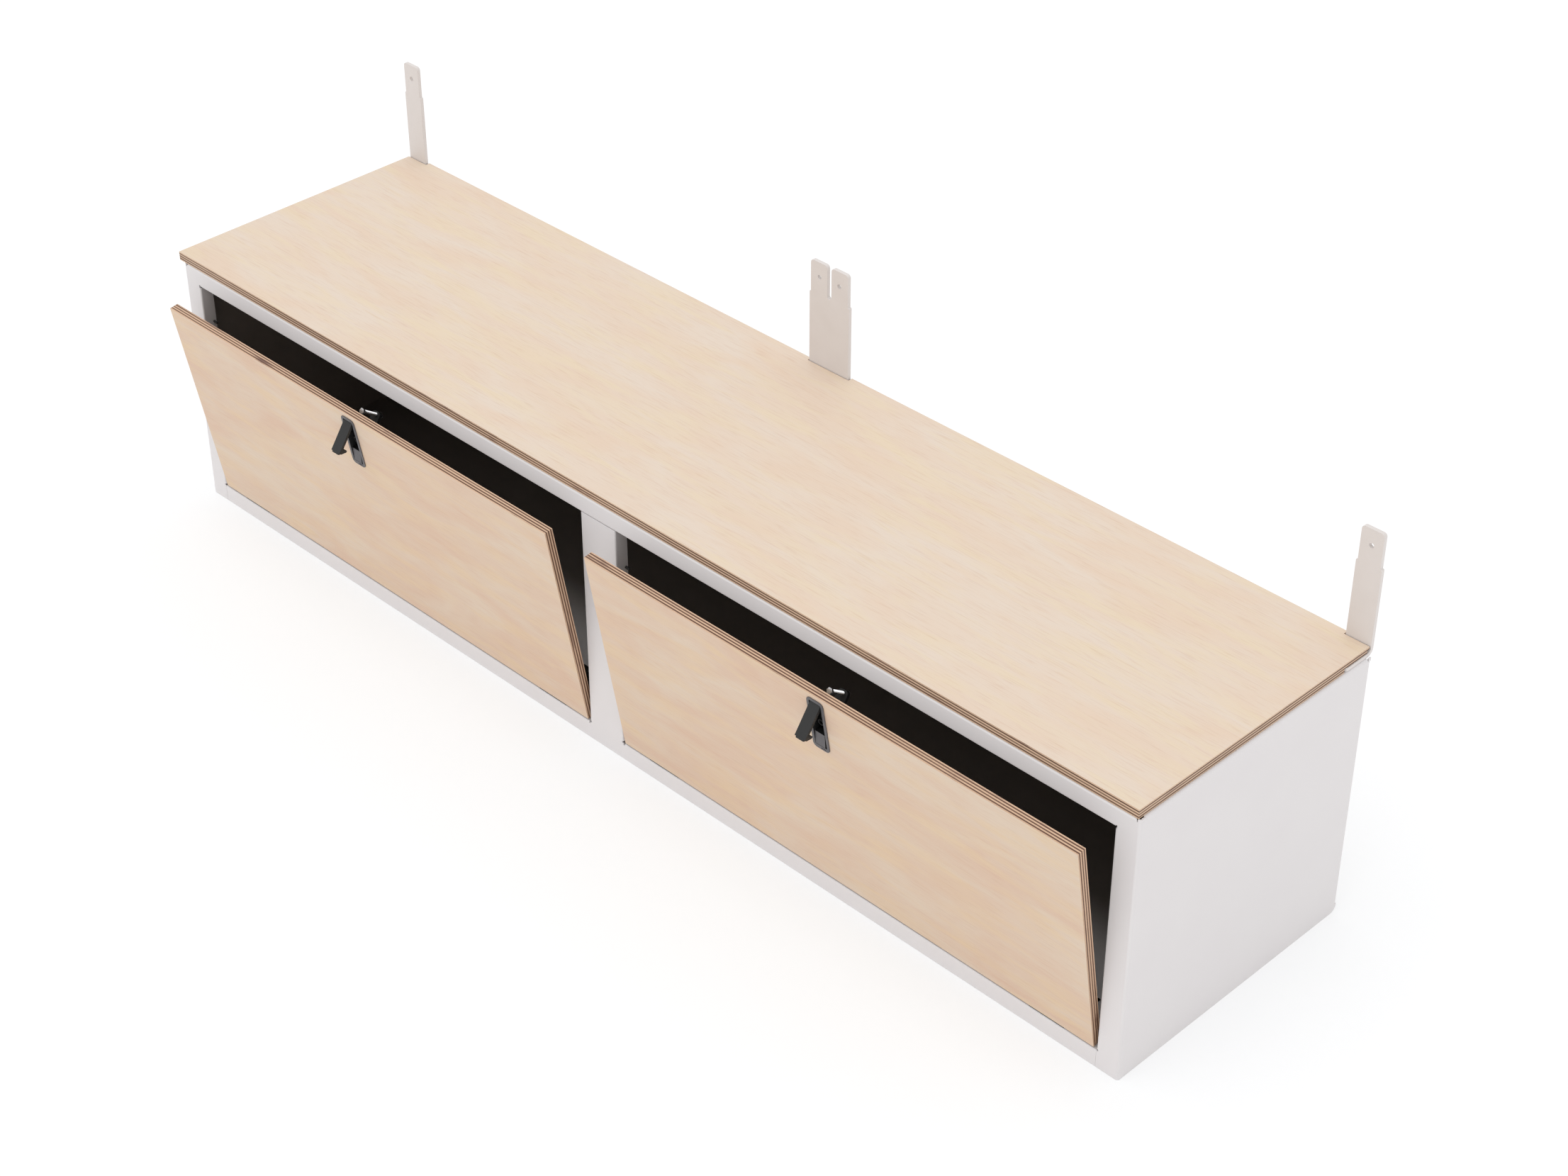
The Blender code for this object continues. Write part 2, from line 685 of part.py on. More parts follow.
def bolt_places():
    """Where the bolts stand: one behind the other in a narrow foot, side by side in the wide one."""
    places = []
    for centre, name in zip(BRACKET_CENTRES, BRACKET_NAMES):
        for side in (-1, 1):
            if prong_count(name) == 1:
                places.append((centre, FOOT_FRONT + BOLT_ROW + side * BOLT_SPACING / 2))
            else:
                places.append((centre + side * PRONG_WIDTH / 2, FOOT_FRONT + BOLT_ROW))
    return places


def make_top_board():
    """The plywood seat board, notched at the rear and rebated below for the bracket feet."""
    left = -HALF - BOARD_LEFT_OVERHANG
    right = HALF - BOARD_RIGHT_INSET
    front = FRONT + BOARD_FRONT_INSET
    rear = REAR + BOARD_REAR_OVERHANG
    half_prong = PRONG_WIDTH / 2 + NOTCH_CLEARANCE
    half_pair = PRONG_WIDTH + NOTCH_CLEARANCE
    notch_left = BRACKET_CENTRES[0] + half_prong
    notch_right = BRACKET_CENTRES[2] - half_prong
    points = [(left, front), (right, front), (right, REAR), (notch_right, REAR), (notch_right, rear),
              (BRACKET_OFFSET + half_pair, rear), (BRACKET_OFFSET + half_pair, REAR),
              (BRACKET_OFFSET - half_pair, REAR), (BRACKET_OFFSET - half_pair, rear),
              (notch_left, rear), (notch_left, REAR), (left, REAR)]
    board = add_part("top_board", prism([points], BOARD_BOTTOM, BOARD_TOP, "XY"), BIRCH)
    rebates = []
    bends = []
    for centre, name in zip(BRACKET_CENTRES, BRACKET_NAMES):
        half = prong_count(name) * PRONG_WIDTH / 2 + NOTCH_CLEARANCE
        low = (centre - half, FOOT_FRONT - NOTCH_CLEARANCE, BOARD_BOTTOM - OVERRUN)
        foot_top = BRACKET_BOTTOM + BRACKET_THICKNESS
        rebates.append(block(low, (centre + half, rear + OVERRUN, foot_top + FIT)))
        inner_bend = BRACKET_BEND - BRACKET_THICKNESS
        low = (centre - half, BRACKET_FRONT_FACE - inner_bend - FIT, BOARD_BOTTOM - OVERRUN)
        bends.append(block(low, (centre + half, rear + OVERRUN, foot_top + inner_bend)))
    combine(board, merged(rebates), "DIFFERENCE")
    combine(board, merged(bends), "DIFFERENCE")
    return board


def make_brackets():
    """Heavy L plates: the foot is bolted down, the prong stands behind the board with its hole."""
    foot_top = BRACKET_BOTTOM + BRACKET_THICKNESS
    side = [(FOOT_FRONT, BRACKET_BOTTOM, 0), (BRACKET_REAR_FACE, BRACKET_BOTTOM, BRACKET_BEND),
            (BRACKET_REAR_FACE, BRACKET_TOP, 0), (BRACKET_FRONT_FACE, BRACKET_TOP, 0),
            (BRACKET_FRONT_FACE, foot_top, BRACKET_BEND - BRACKET_THICKNESS), (FOOT_FRONT, foot_top, 0)]
    for centre, name in zip(BRACKET_CENTRES, BRACKET_NAMES):
        prongs = prong_count(name)
        half = prongs * PRONG_WIDTH / 2
        upper = half - SHOULDER_STEP
        low = BRACKET_BOTTOM - OVERRUN
        corners = [(centre - half, low, 0), (centre + half, low, 0),
                   (centre + half, SHOULDER_HEIGHT, SHOULDER_RADIUS),
                   (centre + upper, SHOULDER_HEIGHT, SHOULDER_RADIUS),
                   (centre + upper, BRACKET_TOP, PRONG_CORNER)]
        if prongs == 2:
            slot = PRONG_SLOT / 2
            corners += [(centre + slot, BRACKET_TOP, PRONG_CORNER),
                        (centre + slot, SHOULDER_HEIGHT, slot - LAP),
                        (centre - slot, SHOULDER_HEIGHT, slot - LAP),
                        (centre - slot, BRACKET_TOP, PRONG_CORNER)]
        corners += [(centre - upper, BRACKET_TOP, PRONG_CORNER),
                    (centre - upper, SHOULDER_HEIGHT, SHOULDER_RADIUS),
                    (centre - half, SHOULDER_HEIGHT, SHOULDER_RADIUS)]
        loops = [rounded(corners)]
        for prong in range(prongs):
            x = centre + (prong - (prongs - 1) / 2) * PRONG_WIDTH
            loops.append(circle(x, MOUNT_HOLE_HEIGHT, MOUNT_HOLE_RADIUS))
        bracket = add_part(name, prism([rounded(side)], centre - half, centre + half, "YZ"), POWDER_COAT)
        face = prism(loops, FOOT_FRONT - OVERRUN, BRACKET_REAR_FACE + OVERRUN, "XZ")
        combine(bracket, face, "INTERSECT")
        plan = rounded([(centre - half, FOOT_FRONT, FOOT_CORNER), (centre + half, FOOT_FRONT, FOOT_CORNER),
                        (centre + half, BRACKET_REAR_FACE + OVERRUN, 0),
                        (centre - half, BRACKET_REAR_FACE + OVERRUN, 0)])
        combine(bracket, prism([plan], low, BRACKET_TOP + OVERRUN, "XY"), "INTERSECT")
        combine(bracket, bolt_bores(centre, half), "DIFFERENCE")


def bolt_shape(clearance):
    """A countersunk bolt from its flush head down past its nut, grown by a clearance."""
    radius = BOLT_RADIUS + clearance
    head = BOLT_HEAD_RADIUS + clearance
    top = BRACKET_BOTTOM + BRACKET_THICKNESS
    bottom = BODY_HEIGHT - SHEET - FIT - NUT_HEIGHT - BOLT_BELOW_NUT - clearance
    cone = [(head, top), (radius, top - BOLT_CONE)]
    if clearance:
        cone.insert(0, (head, top + OVERRUN))
    return turned([(0, cone[0][1]), *cone, (radius, bottom), (0, bottom)])


def bolt_bores(centre, half):
    """Clearance bores for the bolts between two sides."""
    places = [Matrix.Translation((x, y, 0)) for x, y in bolt_places() if abs(x - centre) < half]
    return copies(bolt_shape(FIT), places)


def make_bracket_fasteners():
    """The countersunk bolts and their hexagon nuts under the top flanges."""
    places = [Matrix.Translation((x, y, 0)) for x, y in bolt_places()]
    add_copies("bracket_bolt", bolt_shape(0), places, ZINC)
    top = BODY_HEIGHT - SHEET - FIT
    outline = circle(0, 0, NUT_FLATS / 2 / cos(pi / HEX_STEPS), HEX_STEPS)
    nut = prism([outline, circle(0, 0, BOLT_RADIUS + FIT, SCREW_STEPS)], top - NUT_HEIGHT, top, "XY")
    add_copies("bracket_nut", nut, places, ZINC)
    for name in ("outer_shell", "back_panel"):
        combine(bpy.data.objects[name], copies(bolt_shape(FIT), places), "DIFFERENCE")


# Fasteners of the body

def fastener(head_radius, head_height, radius, length):
    """A headed fastener with the seat of its head at zero and its shank down the axis."""
    return turned([(0, head_height), (head_radius, head_height * 2 / 3), (head_radius, 0), (radius, 0),
                   (radius, -length), (0, -length)])


def seat_screw_places():
    """Where the seat board is screwed up from below, two screws in each end flange."""
    x = HALF - END_FLANGE * 2 / 3
    y = FRONT + SEAT_SCREW_INSET
    return [(side * x, row * y) for side in (-1, 1) for row in (-1, 1)]


def make_seat_screws():
    """Pan head screws that hold the seat board down from inside the cabinet."""
    seat = BODY_HEIGHT - SHEET - FIT
    upward = Matrix.Rotation(pi, 4, "X")
    places = [Matrix.Translation((x, y, seat)) @ upward for x, y in seat_screw_places()]
    screw = fastener(SCREW_HEAD_RADIUS, SCREW_HEAD_HEIGHT, SCREW_RADIUS, SCREW_LENGTH)
    add_copies("seat_screw", screw, places, ZINC)
    bore = cylinder((0, 0, 0), SCREW_BORE, 2 * (SCREW_LENGTH + FIT), "Z", SCREW_STEPS)
    for name in ("outer_shell", "top_board"):
        combine(bpy.data.objects[name], copies(bore, places), "DIFFERENCE")


def make_door_stops():
    """Small round rubber stops on the returns, just behind the shut doors."""
    stop = cylinder((0, 0, 0), STOP_RADIUS, STOP_REACH, "X")
    y = FRONT + DOOR_THICKNESS + FIT + STOP_RADIUS
    inset = FIT + STOP_REACH / 2
    places = []
    for x in (inset - JAMB, -MULLION - inset, MULLION + inset, JAMB - inset):
        places.append(Matrix.Translation((x, y, STOP_HEIGHT)))
    add_copies("door_stop", stop, places, RUBBER)


# Doors and their hinges, each in the frame of the door's hinge axis

def tub_outline(clearance):
    """The latch tub's outline across the door, grown by a clearance."""
    half = TUB_WIDTH / 2 + clearance
    low = POCKET_BOTTOM - TUB_WALL - clearance
    high = POCKET_TOP + TUB_WALL + clearance
    return rectangle(-half, half, low, high, POCKET_CORNER)


def hinge_centres():
    """The middles of a door's hinges, from the door's middle."""
    return [side * (DOOR_WIDTH / 2 - HINGE_INSET) for side in (-1, 1)]


def leaf_screw_places():
    """Where the door leaves are screwed to the door's rear face."""
    places = []
    for centre in hinge_centres():
        for share in (-1, 1):
            x = centre + share * HINGE_WIDTH / 3
            for row_share in (1 / 3, 5 / 6):
                places.append((x, DOOR_LOW + LEAF_HEIGHT * row_share))
    return places


def make_door(side, axis):
    """A plywood door with its latch opening."""
    half = DOOR_WIDTH / 2
    outline = rectangle(-half, half, DOOR_LOW, DOOR_HIGH)
    add_part("door_" + side, prism([outline, tub_outline(FIT)], DOOR_FACE, DOOR_BACK, "XZ"), BIRCH, axis)


def hinge_bore():
    """The outline of the bore for a hinge pin."""
    return circle(0, 0, HINGE_PIN_RADIUS + HINGE_PIN_FIT, SCREW_STEPS)


def make_hinge_base(name, centre, axis):
    """The fixed half: two knuckles, a strap on the floor and the raised block behind them."""
    outer = HINGE_WIDTH / 2
    clear = KNUCKLE_WIDTH / 2 + KNUCKLE_GAP
    floor = -KNUCKLE_RADIUS
    over = LEAF - KNUCKLE_RADIUS
    knuckle = arc(0, 0, KNUCKLE_RADIUS, -LEAF_TURN, 270, 2 * CORNER_STEPS)
    profile = knuckle + [(BASE_LENGTH, floor), (BASE_LENGTH, over)]
    left = prism([profile, hinge_bore()], centre - outer, centre - clear, "YZ")
    base = add_part(name, left, BLACK_STEEL, axis)
    combine(base, prism([profile, hinge_bore()], centre + clear, centre + outer, "YZ"), "UNION")
    front = KNUCKLE_RADIUS + KNUCKLE_GAP
    middle = block((centre - clear - LAP, front, floor), (centre + clear + LAP, BASE_LENGTH, over))
    combine(base, middle, "UNION")
    high = floor + BASE_BLOCK_HEIGHT
    rise = [(BASE_BLOCK_FRONT, floor + LAP, 0), (BASE_LENGTH - LAP, floor + LAP, 0),
            (BASE_LENGTH - LAP, high, BASE_BLOCK_CORNER),
            (BASE_BLOCK_FRONT + BASE_BLOCK_SLOPE, high, BASE_BLOCK_CORNER),
            (BASE_BLOCK_FRONT, high - BASE_BLOCK_SLOPE, BASE_BLOCK_CORNER)]
    half = BASE_BLOCK_WIDTH / 2
    combine(base, prism([rounded(rise)], centre - half, centre + half, "YZ"), "UNION")


def make_hinge_leaf(name, centre, axis):
    """The moving half: a leaf that wraps the door's bottom edge, screwed to its rear face."""
    inner = KNUCKLE_WIDTH / 2
    outer = HINGE_WIDTH / 2
    back = DOOR_BACK + FIT
    front = KNUCKLE_RADIUS + KNUCKLE_GAP
    under = KNUCKLE_RADIUS - LEAF
    top = DOOR_LOW + LEAF_HEIGHT
    wrap = [(front, under, 0), (back + LEAF, under, LEAF), (back + LEAF, top, 0), (back, top, 0),
            (back, KNUCKLE_RADIUS, 0), (front, KNUCKLE_RADIUS, 0)]
    leaf = add_part(name, prism([rounded(wrap)], centre - outer, centre + outer, "YZ"), BLACK_STEEL, axis)
    curl = arc(0, 0, KNUCKLE_RADIUS, 90, 360 + LEAF_TURN, 2 * CORNER_STEPS)
    curl += [(front + LAP, under), (front + LAP, KNUCKLE_RADIUS)]
    combine(leaf, prism([curl, hinge_bore()], centre - inner, centre + inner, "YZ"), "UNION")
    inward = Matrix.Rotation(-pi / 2, 4, "X")
    spots = [(x, z) for x, z in leaf_screw_places() if abs(x - centre) < outer]
    places = [Matrix.Translation((x, back, z)) @ inward for x, z in spots]
    bore = cylinder((0, 0, 0), SCREW_BORE, 2 * SCREW_LENGTH, "Z", SCREW_STEPS)
    combine(leaf, copies(bore, places), "DIFFERENCE")


def make_hinges(side, door_axis, frame_axis):
    """A door's two black hinges, each a base, a leaf and a pin."""
    for index, centre in enumerate(hinge_centres(), start=1):
        make_hinge_base(f"hinge_base_{side}_{index}", centre, frame_axis)
        make_hinge_leaf(f"hinge_leaf_{side}_{index}", centre, door_axis)
        pin = cylinder((centre, 0, 0), HINGE_PIN_RADIUS, HINGE_WIDTH, "X", SCREW_STEPS)
        add_part(f"hinge_pin_{side}_{index}", pin, ZINC, frame_axis)


# Latches, in the door's frame

def make_latch_body(side, axis):
    """The bezel and tub: an open window behind the arm, a ring boss, a finger scoop and a key slot."""
    half = BEZEL_WIDTH / 2
    seat = DOOR_FACE - FIT
    bezel = rectangle(-half, half, BEZEL_BOTTOM, BEZEL_TOP, BEZEL_CORNER)
    body = add_part("latch_body_" + side, prism([bezel], BEZEL_FACE, seat, "XZ"), BLACK_PLASTIC, axis)
    combine(body, prism([tub_outline(0)], seat - LAP, TUB_BACK, "XZ"), "UNION")
    inside = TUB_WIDTH / 2 - TUB_WALL
    window_low = POCKET_TOP - REAR_WINDOW
    scoop_top = POCKET_BOTTOM + SCOOP_LENGTH
    ahead = BEZEL_FACE - OVERRUN
    floor = TUB_BACK - TUB_FLOOR
    window = rectangle(-inside, inside, window_low, POCKET_TOP, POCKET_CORNER)
    combine(body, prism([window], ahead, TUB_BACK + OVERRUN, "XZ"), "DIFFERENCE")
    dish = rectangle(-inside, inside, scoop_top, window_low + LAP)
    ring_height = scoop_top + RING_ABOVE_SCOOP
    ring = circle(0, ring_height, RING_RADIUS)
    combine(body, prism([dish, ring], ahead, floor, "XZ"), "DIFFERENCE")
    well = circle(0, ring_height, RING_RADIUS - RING_WALL)
    combine(body, prism([well], ahead, floor, "XZ"), "DIFFERENCE")
    ring_top = DOOR_FACE + RING_TOP
    combine(body, block((-inside, ahead, scoop_top), (inside, ring_top, window_low + LAP)), "DIFFERENCE")
    scoop = [(ahead, POCKET_BOTTOM), (BEZEL_FACE + SCOOP_START, POCKET_BOTTOM),
             (BEZEL_FACE + SCOOP_END, scoop_top + LAP), (ahead, scoop_top + LAP)]
    combine(body, prism([scoop], -inside, inside, "YZ"), "DIFFERENCE")
    gap = block((inside - SCOOP_GAP, ahead, POCKET_BOTTOM), (inside, floor, scoop_top + LAP))
    combine(body, gap, "DIFFERENCE")
    slot_top = POCKET_BOTTOM - KEY_SLOT_BELOW
    slot_back = BEZEL_FACE + KEY_SLOT_DEPTH
    slot = block((0, ahead, slot_top - KEY_SLOT_HEIGHT), (KEY_SLOT_WIDTH, slot_back, slot_top))
    combine(body, slot, "DIFFERENCE")
    pin_bore = cylinder((0, PIVOT_Y, PIVOT_Z), LATCH_PIN_RADIUS + FIT, 2 * TUB_WIDTH, "X")
    combine(body, pin_bore, "DIFFERENCE")
    combine(body, copies(clamp_bore(), clamp_screw_places(TUB_BACK)), "DIFFERENCE")


def clamp_screw_places(y):
    """Where the clamp is screwed to the back of the tub."""
    inward = Matrix.Rotation(-pi / 2, 4, "X")
    middle = POCKET_BOTTOM + CLAMP_ABOVE_TUB + CLAMP_HEIGHT / 2
    return [Matrix.Translation((0, y, middle + share * CLAMP_SCREW_SPACING)) @ inward
            for share in (-1 / 2, 1 / 2)]


def clamp_bore():
    """The bore for a clamp screw."""
    reach = CLAMP_SCREW_LENGTH + FIT
    return cylinder((0, 0, 0), CLAMP_SCREW_RADIUS + FIT, 2 * reach, "Z", SCREW_STEPS)


def make_latch_clamp(side, axis):
    """A steel strap that holds the tub against the door's rear face, with its two screws."""
    foot = DOOR_BACK + FIT
    seat = TUB_BACK + FIT
    inner = TUB_WIDTH / 2 + FIT
    bend = inner + CLAMP_THICKNESS
    top = seat + CLAMP_THICKNESS
    over = foot + CLAMP_THICKNESS
    half = [(inner, seat), (inner, foot), (CLAMP_HALF_WIDTH, foot), (CLAMP_HALF_WIDTH, over),
            (bend, over), (bend, top)]
    points = [(x, y) for x, y in half] + [(-x, y) for x, y in reversed(half)]
    low = POCKET_BOTTOM + CLAMP_ABOVE_TUB
    strap = prism([points], low, low + CLAMP_HEIGHT, "XY")
    clamp = add_part("latch_clamp_" + side, strap, BLACK_STEEL, axis)
    combine(clamp, copies(clamp_bore(), clamp_screw_places(TUB_BACK)), "DIFFERENCE")
    screw = fastener(SCREW_HEAD_RADIUS, SCREW_HEAD_HEIGHT, CLAMP_SCREW_RADIUS, CLAMP_SCREW_LENGTH)
    add_copies("latch_screw_" + side, screw, clamp_screw_places(top + FIT), ZINC, axis)


def make_latch_lever(side, pivot):
    """The finger lever with its hook and tongue, in one piece with the arm behind the door."""
    hook_low = -LEVER_LENGTH
    hook_high = hook_low + HOOK_HEIGHT
    handle = arc(0, 0, LEVER_ROOT, 180, -90, 3 * CORNER_STEPS)
    handle += [(LEVER_BACK, -LEVER_ROOT), (LEVER_BACK, hook_high), (LEVER_BACK + HOOK_REACH, hook_high),
               (LEVER_BACK + HOOK_REACH, hook_high - HOOK_TIP), (LEVER_BACK, hook_low),
               (-LEVER_ROOT, hook_low)]
    half = LEVER_WIDTH / 2
    lever = add_part("latch_lever_" + side, prism([handle], -half, half, "YZ"), BLACK_PLASTIC, pivot)
    tongue_low = (-TONGUE_WIDTH / 2, -LEVER_ROOT, hook_low - TONGUE_LENGTH)
    combine(lever, block(tongue_low, (TONGUE_WIDTH / 2, LEVER_BACK, hook_low + LAP)), "UNION")
    arm_half = ARM_WIDTH / 2
    crown = ADJUST_Z + ARM_CROWN
    over = crown + OVERRUN
    run = rounded([(0, -ARM_THICKNESS, 0), (ARM_BACK, -ARM_THICKNESS, ARM_THICKNESS + ARM_FILLET),
                   (ARM_BACK, over, 0), (ARM_REACH, over, 0), (ARM_REACH, 0, ARM_FILLET), (0, 0, 0)])
    low = -2 * ARM_THICKNESS
    plan = rounded([(-arm_half, low, 0), (arm_half, low, 0),
                    (arm_half, crown, ARM_CORNER), (-arm_half, crown, ARM_CORNER)])
    arm = combine(lever, prism([run], -arm_half, arm_half, "YZ"), "UNION")
    combine(arm, prism([plan], -LEVER_ROOT, ARM_BACK + OVERRUN, "XZ"), "INTERSECT")
    adjust_bore = cylinder((0, ARM_BACK, ADJUST_Z), BOLT_RADIUS + FIT, 4 * ARM_THICKNESS, "Y")
    combine(lever, adjust_bore, "DIFFERENCE")
    pin_bore = cylinder((0, 0, 0), LATCH_PIN_RADIUS + FIT, 2 * LEVER_WIDTH, "X")
    combine(lever, pin_bore, "DIFFERENCE")


def hexagon(flats):
    """A hexagon across its flats, on the axis of the adjusting bolt."""
    return circle(0, ADJUST_Z, flats / 2 / cos(pi / HEX_STEPS), HEX_STEPS)


def make_latch_bolt(side, pivot):
    """The adjusting bolt, whose head catches the strike lip, and the lock nut behind the arm."""
    head_back = ADJUST_FACE + ADJUST_HEAD_HEIGHT
    head = prism([hexagon(ADJUST_HEAD_FLATS)], ADJUST_FACE, head_back, "XZ")
    bolt = add_part("latch_bolt_" + side, head, ZINC, pivot)
    nut_low = ARM_BACK + FIT
    nut_high = nut_low + NUT_HEIGHT
    shank_start = head_back - LAP
    shank_end = nut_high + ADJUST_BEYOND_NUT
    middle = (0, (shank_start + shank_end) / 2, ADJUST_Z)
    combine(bolt, cylinder(middle, BOLT_RADIUS, shank_end - shank_start, "Y"), "UNION")
    nut_loops = [hexagon(NUT_FLATS), circle(0, ADJUST_Z, BOLT_RADIUS + FIT)]
    add_part("latch_nut_" + side, prism(nut_loops, nut_low, nut_high, "XZ"), ZINC, pivot)


def make_latch_pin(side, axis):
    """The pin on which the lever turns."""
    pin = cylinder((0, PIVOT_Y, PIVOT_Z), LATCH_PIN_RADIUS, TUB_WIDTH, "X")
    add_part("latch_pin_" + side, pin, ZINC, axis)


make_outer_shell()
make_floor_pan()
make_back_panel()
make_floor_bearer()
make_top_board()
make_brackets()
make_bracket_fasteners()
make_seat_screws()
make_door_stops()
for door_side, direction in (("left", -1), ("right", 1)):
    hinge_place = (direction * DOOR_CENTRE, HINGE_Y, HINGE_Z)
    still = add_axis("hinge_axis_" + door_side, hinge_place)
    swinging = add_axis("door_axis_" + door_side, hinge_place)
    swinging.rotation_euler.x = radians(DOOR_OPEN_DEGREES)
    make_door(door_side, swinging)
    make_hinges(door_side, swinging, still)
    make_latch_body(door_side, swinging)
    make_latch_clamp(door_side, swinging)
    turning = add_axis("lever_axis_" + door_side, (0, PIVOT_Y, PIVOT_Z), swinging)
    turning.rotation_euler.x = -radians(LEVER_OPEN_DEGREES)
    make_latch_lever(door_side, turning)
    make_latch_bolt(door_side, turning)
    make_latch_pin(door_side, swinging)
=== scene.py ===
"""Van bench cabinet: a folded white steel body with a birch plywood seat board, two drop-down plywood doors
with flush lever latches, and upright mounting brackets behind the seat. Metres, +Z up, front towards -Y."""

import math

import bpy
from mathutils import Matrix, Vector


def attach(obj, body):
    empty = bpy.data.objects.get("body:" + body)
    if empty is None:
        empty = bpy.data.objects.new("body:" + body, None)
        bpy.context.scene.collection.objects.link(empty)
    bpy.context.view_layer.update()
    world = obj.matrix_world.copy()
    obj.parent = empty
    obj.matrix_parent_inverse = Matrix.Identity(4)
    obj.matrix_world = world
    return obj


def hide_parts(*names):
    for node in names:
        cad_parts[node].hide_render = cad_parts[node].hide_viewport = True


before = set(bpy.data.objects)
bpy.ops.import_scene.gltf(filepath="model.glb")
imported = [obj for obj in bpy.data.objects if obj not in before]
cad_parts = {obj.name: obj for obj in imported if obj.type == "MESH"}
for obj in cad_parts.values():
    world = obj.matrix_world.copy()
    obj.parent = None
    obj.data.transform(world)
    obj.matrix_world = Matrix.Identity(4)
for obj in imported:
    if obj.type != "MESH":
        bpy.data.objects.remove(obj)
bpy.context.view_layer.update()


# The outer shell is one folded sheet of 2 mm steel: both ends, the stiles, the head rail and its flanges.
# It is zinc primed and powder coated satin white, with rounded press-brake bends and deburred edges.

SHEET_EDGE = 0.0003
MERGE_DISTANCE = 0.00001
LEVEL_ANGLE = math.radians(0.4)
CREASE_ANGLE = math.radians(40)
FINE_RELIEF = 0.00004

# The room inside, a little short of the sheets that close it.
INNER_SIDE = 0.9985
INNER_FRONT = -0.2165
INNER_REAR = 0.2362
INNER_LOW = 0.0300
INNER_HIGH = 0.4436

# The two colours that a colour mix takes and the one that it gives, by their place among its sockets.
FIRST, SECOND, MIXED = 6, 7, 2


def linear(colour):
    """An sRGB hex colour as linear red, green and blue with full alpha."""
    parts = [int(colour[i:i + 2], 16) / 255 for i in (1, 3, 5)]
    return tuple(p / 12.92 if p <= 0.04045 else ((p + 0.055) / 1.055) ** 2.4 for p in parts) + (1.0,)


def node(material, kind, inputs=None, **settings):
    """Adds a shader node with its settings, its values and its links."""
    made = material.node_tree.nodes.new(kind)
    for name, value in settings.items():
        setattr(made, name, value)
    for name, value in (inputs or {}).items():
        if isinstance(value, bpy.types.NodeSocket):
            material.node_tree.links.new(value, made.inputs[name])
        else:
            made.inputs[name].default_value = value
    return made


def new_material(name, roughness, metallic=0.0, ior=1.5):
    """A material with its roughness, metallic and refraction set on the shader, and the shader itself."""
    material = bpy.data.materials.new(name)
    material.use_nodes = True
    shader = material.node_tree.nodes["Principled BSDF"]
    shader.inputs["Roughness"].default_value = roughness
    shader.inputs["Metallic"].default_value = metallic
    if not metallic:
        shader.inputs["IOR"].default_value = ior
    return material, shader


def joined(material, socket, shader, name):
    """Links a socket to one of a shader's inputs."""
    material.node_tree.links.new(socket, shader.inputs[name])


def mottle(material, shader, cells, detail, low, high):
    """Clouds a finish between two close shades, with so many clouds to the metre, and gives the clouds."""
    place = node(material, "ShaderNodeTexCoord")
    cloud = node(material, "ShaderNodeTexNoise",
                 {"Vector": place.outputs["Object"], "Scale": cells, "Detail": detail})
    tint = node(material, "ShaderNodeMix",
                {"Factor": cloud.outputs["Fac"], FIRST: linear(low), SECOND: linear(high)}, data_type="RGBA")
    joined(material, tint.outputs[MIXED], shader, "Base Color")
    return cloud.outputs["Fac"]


def orange_peel(material, shader, cells, strength):
    """The faint ripple of a sprayed or baked coat, drawn as a weak relief of 40 micrometres."""
    place = node(material, "ShaderNodeTexCoord")
    peel = node(material, "ShaderNodeTexNoise",
                {"Vector": place.outputs["Object"], "Scale": cells, "Detail": 1.5})
    skin = node(material, "ShaderNodeBump",
                {"Height": peel.outputs["Fac"], "Strength": strength, "Distance": FINE_RELIEF})
    joined(material, skin.outputs["Normal"], shader, "Normal")


def activate(piece):
    """Makes one piece the only selected and the active object."""
    bpy.ops.object.select_all(action="DESELECT")
    piece.select_set(True)
    bpy.context.view_layer.objects.active = piece


def fine_copy(name, source, edge, steps=2):
    """A piece that starts from a CAD solid: merged, its flats made whole and its edges eased and smoothed."""
    piece = bpy.data.objects.new(name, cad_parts[source].data.copy())
    bpy.context.scene.collection.objects.link(piece)
    activate(piece)
    if piece.data.has_custom_normals:
        bpy.ops.mesh.customdata_custom_splitnormals_clear()
    bpy.ops.object.mode_set(mode="EDIT")
    bpy.ops.mesh.select_all(action="SELECT")
    bpy.ops.mesh.remove_doubles(threshold=MERGE_DISTANCE)
    bpy.ops.mesh.dissolve_limited(angle_limit=LEVEL_ANGLE)
    bpy.ops.object.mode_set(mode="OBJECT")
    ease = piece.modifiers.new("ease", "BEVEL")
    ease.width = edge
    ease.segments = steps
    ease.limit_method = "ANGLE"
    ease.angle_limit = CREASE_ANGLE
    ease.miter_outer = "MITER_ARC"
    bpy.ops.object.modifier_apply(modifier=ease.name)
    bpy.ops.object.shade_smooth_by_angle(angle=CREASE_ANGLE)
    even = piece.modifiers.new("even", "WEIGHTED_NORMAL")
    even.keep_sharp = True
    bpy.ops.object.modifier_apply(modifier=even.name)
    return piece


def finish_piece(piece, material, body, slot, *solids):
    """Gives a piece its material and its body, and names the CAD solids that it stands for."""
    piece.data.materials.clear()
    piece.data.materials.append(material)
    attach(piece, body)
    if solids:
        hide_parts(*solids)


def second_finish(piece, material, picked):
    """Gives a piece a second material on the faces that a test picks."""
    piece.data.materials.append(material)
    for face in piece.data.polygons:
        if picked(face):
            face.material_index = 1


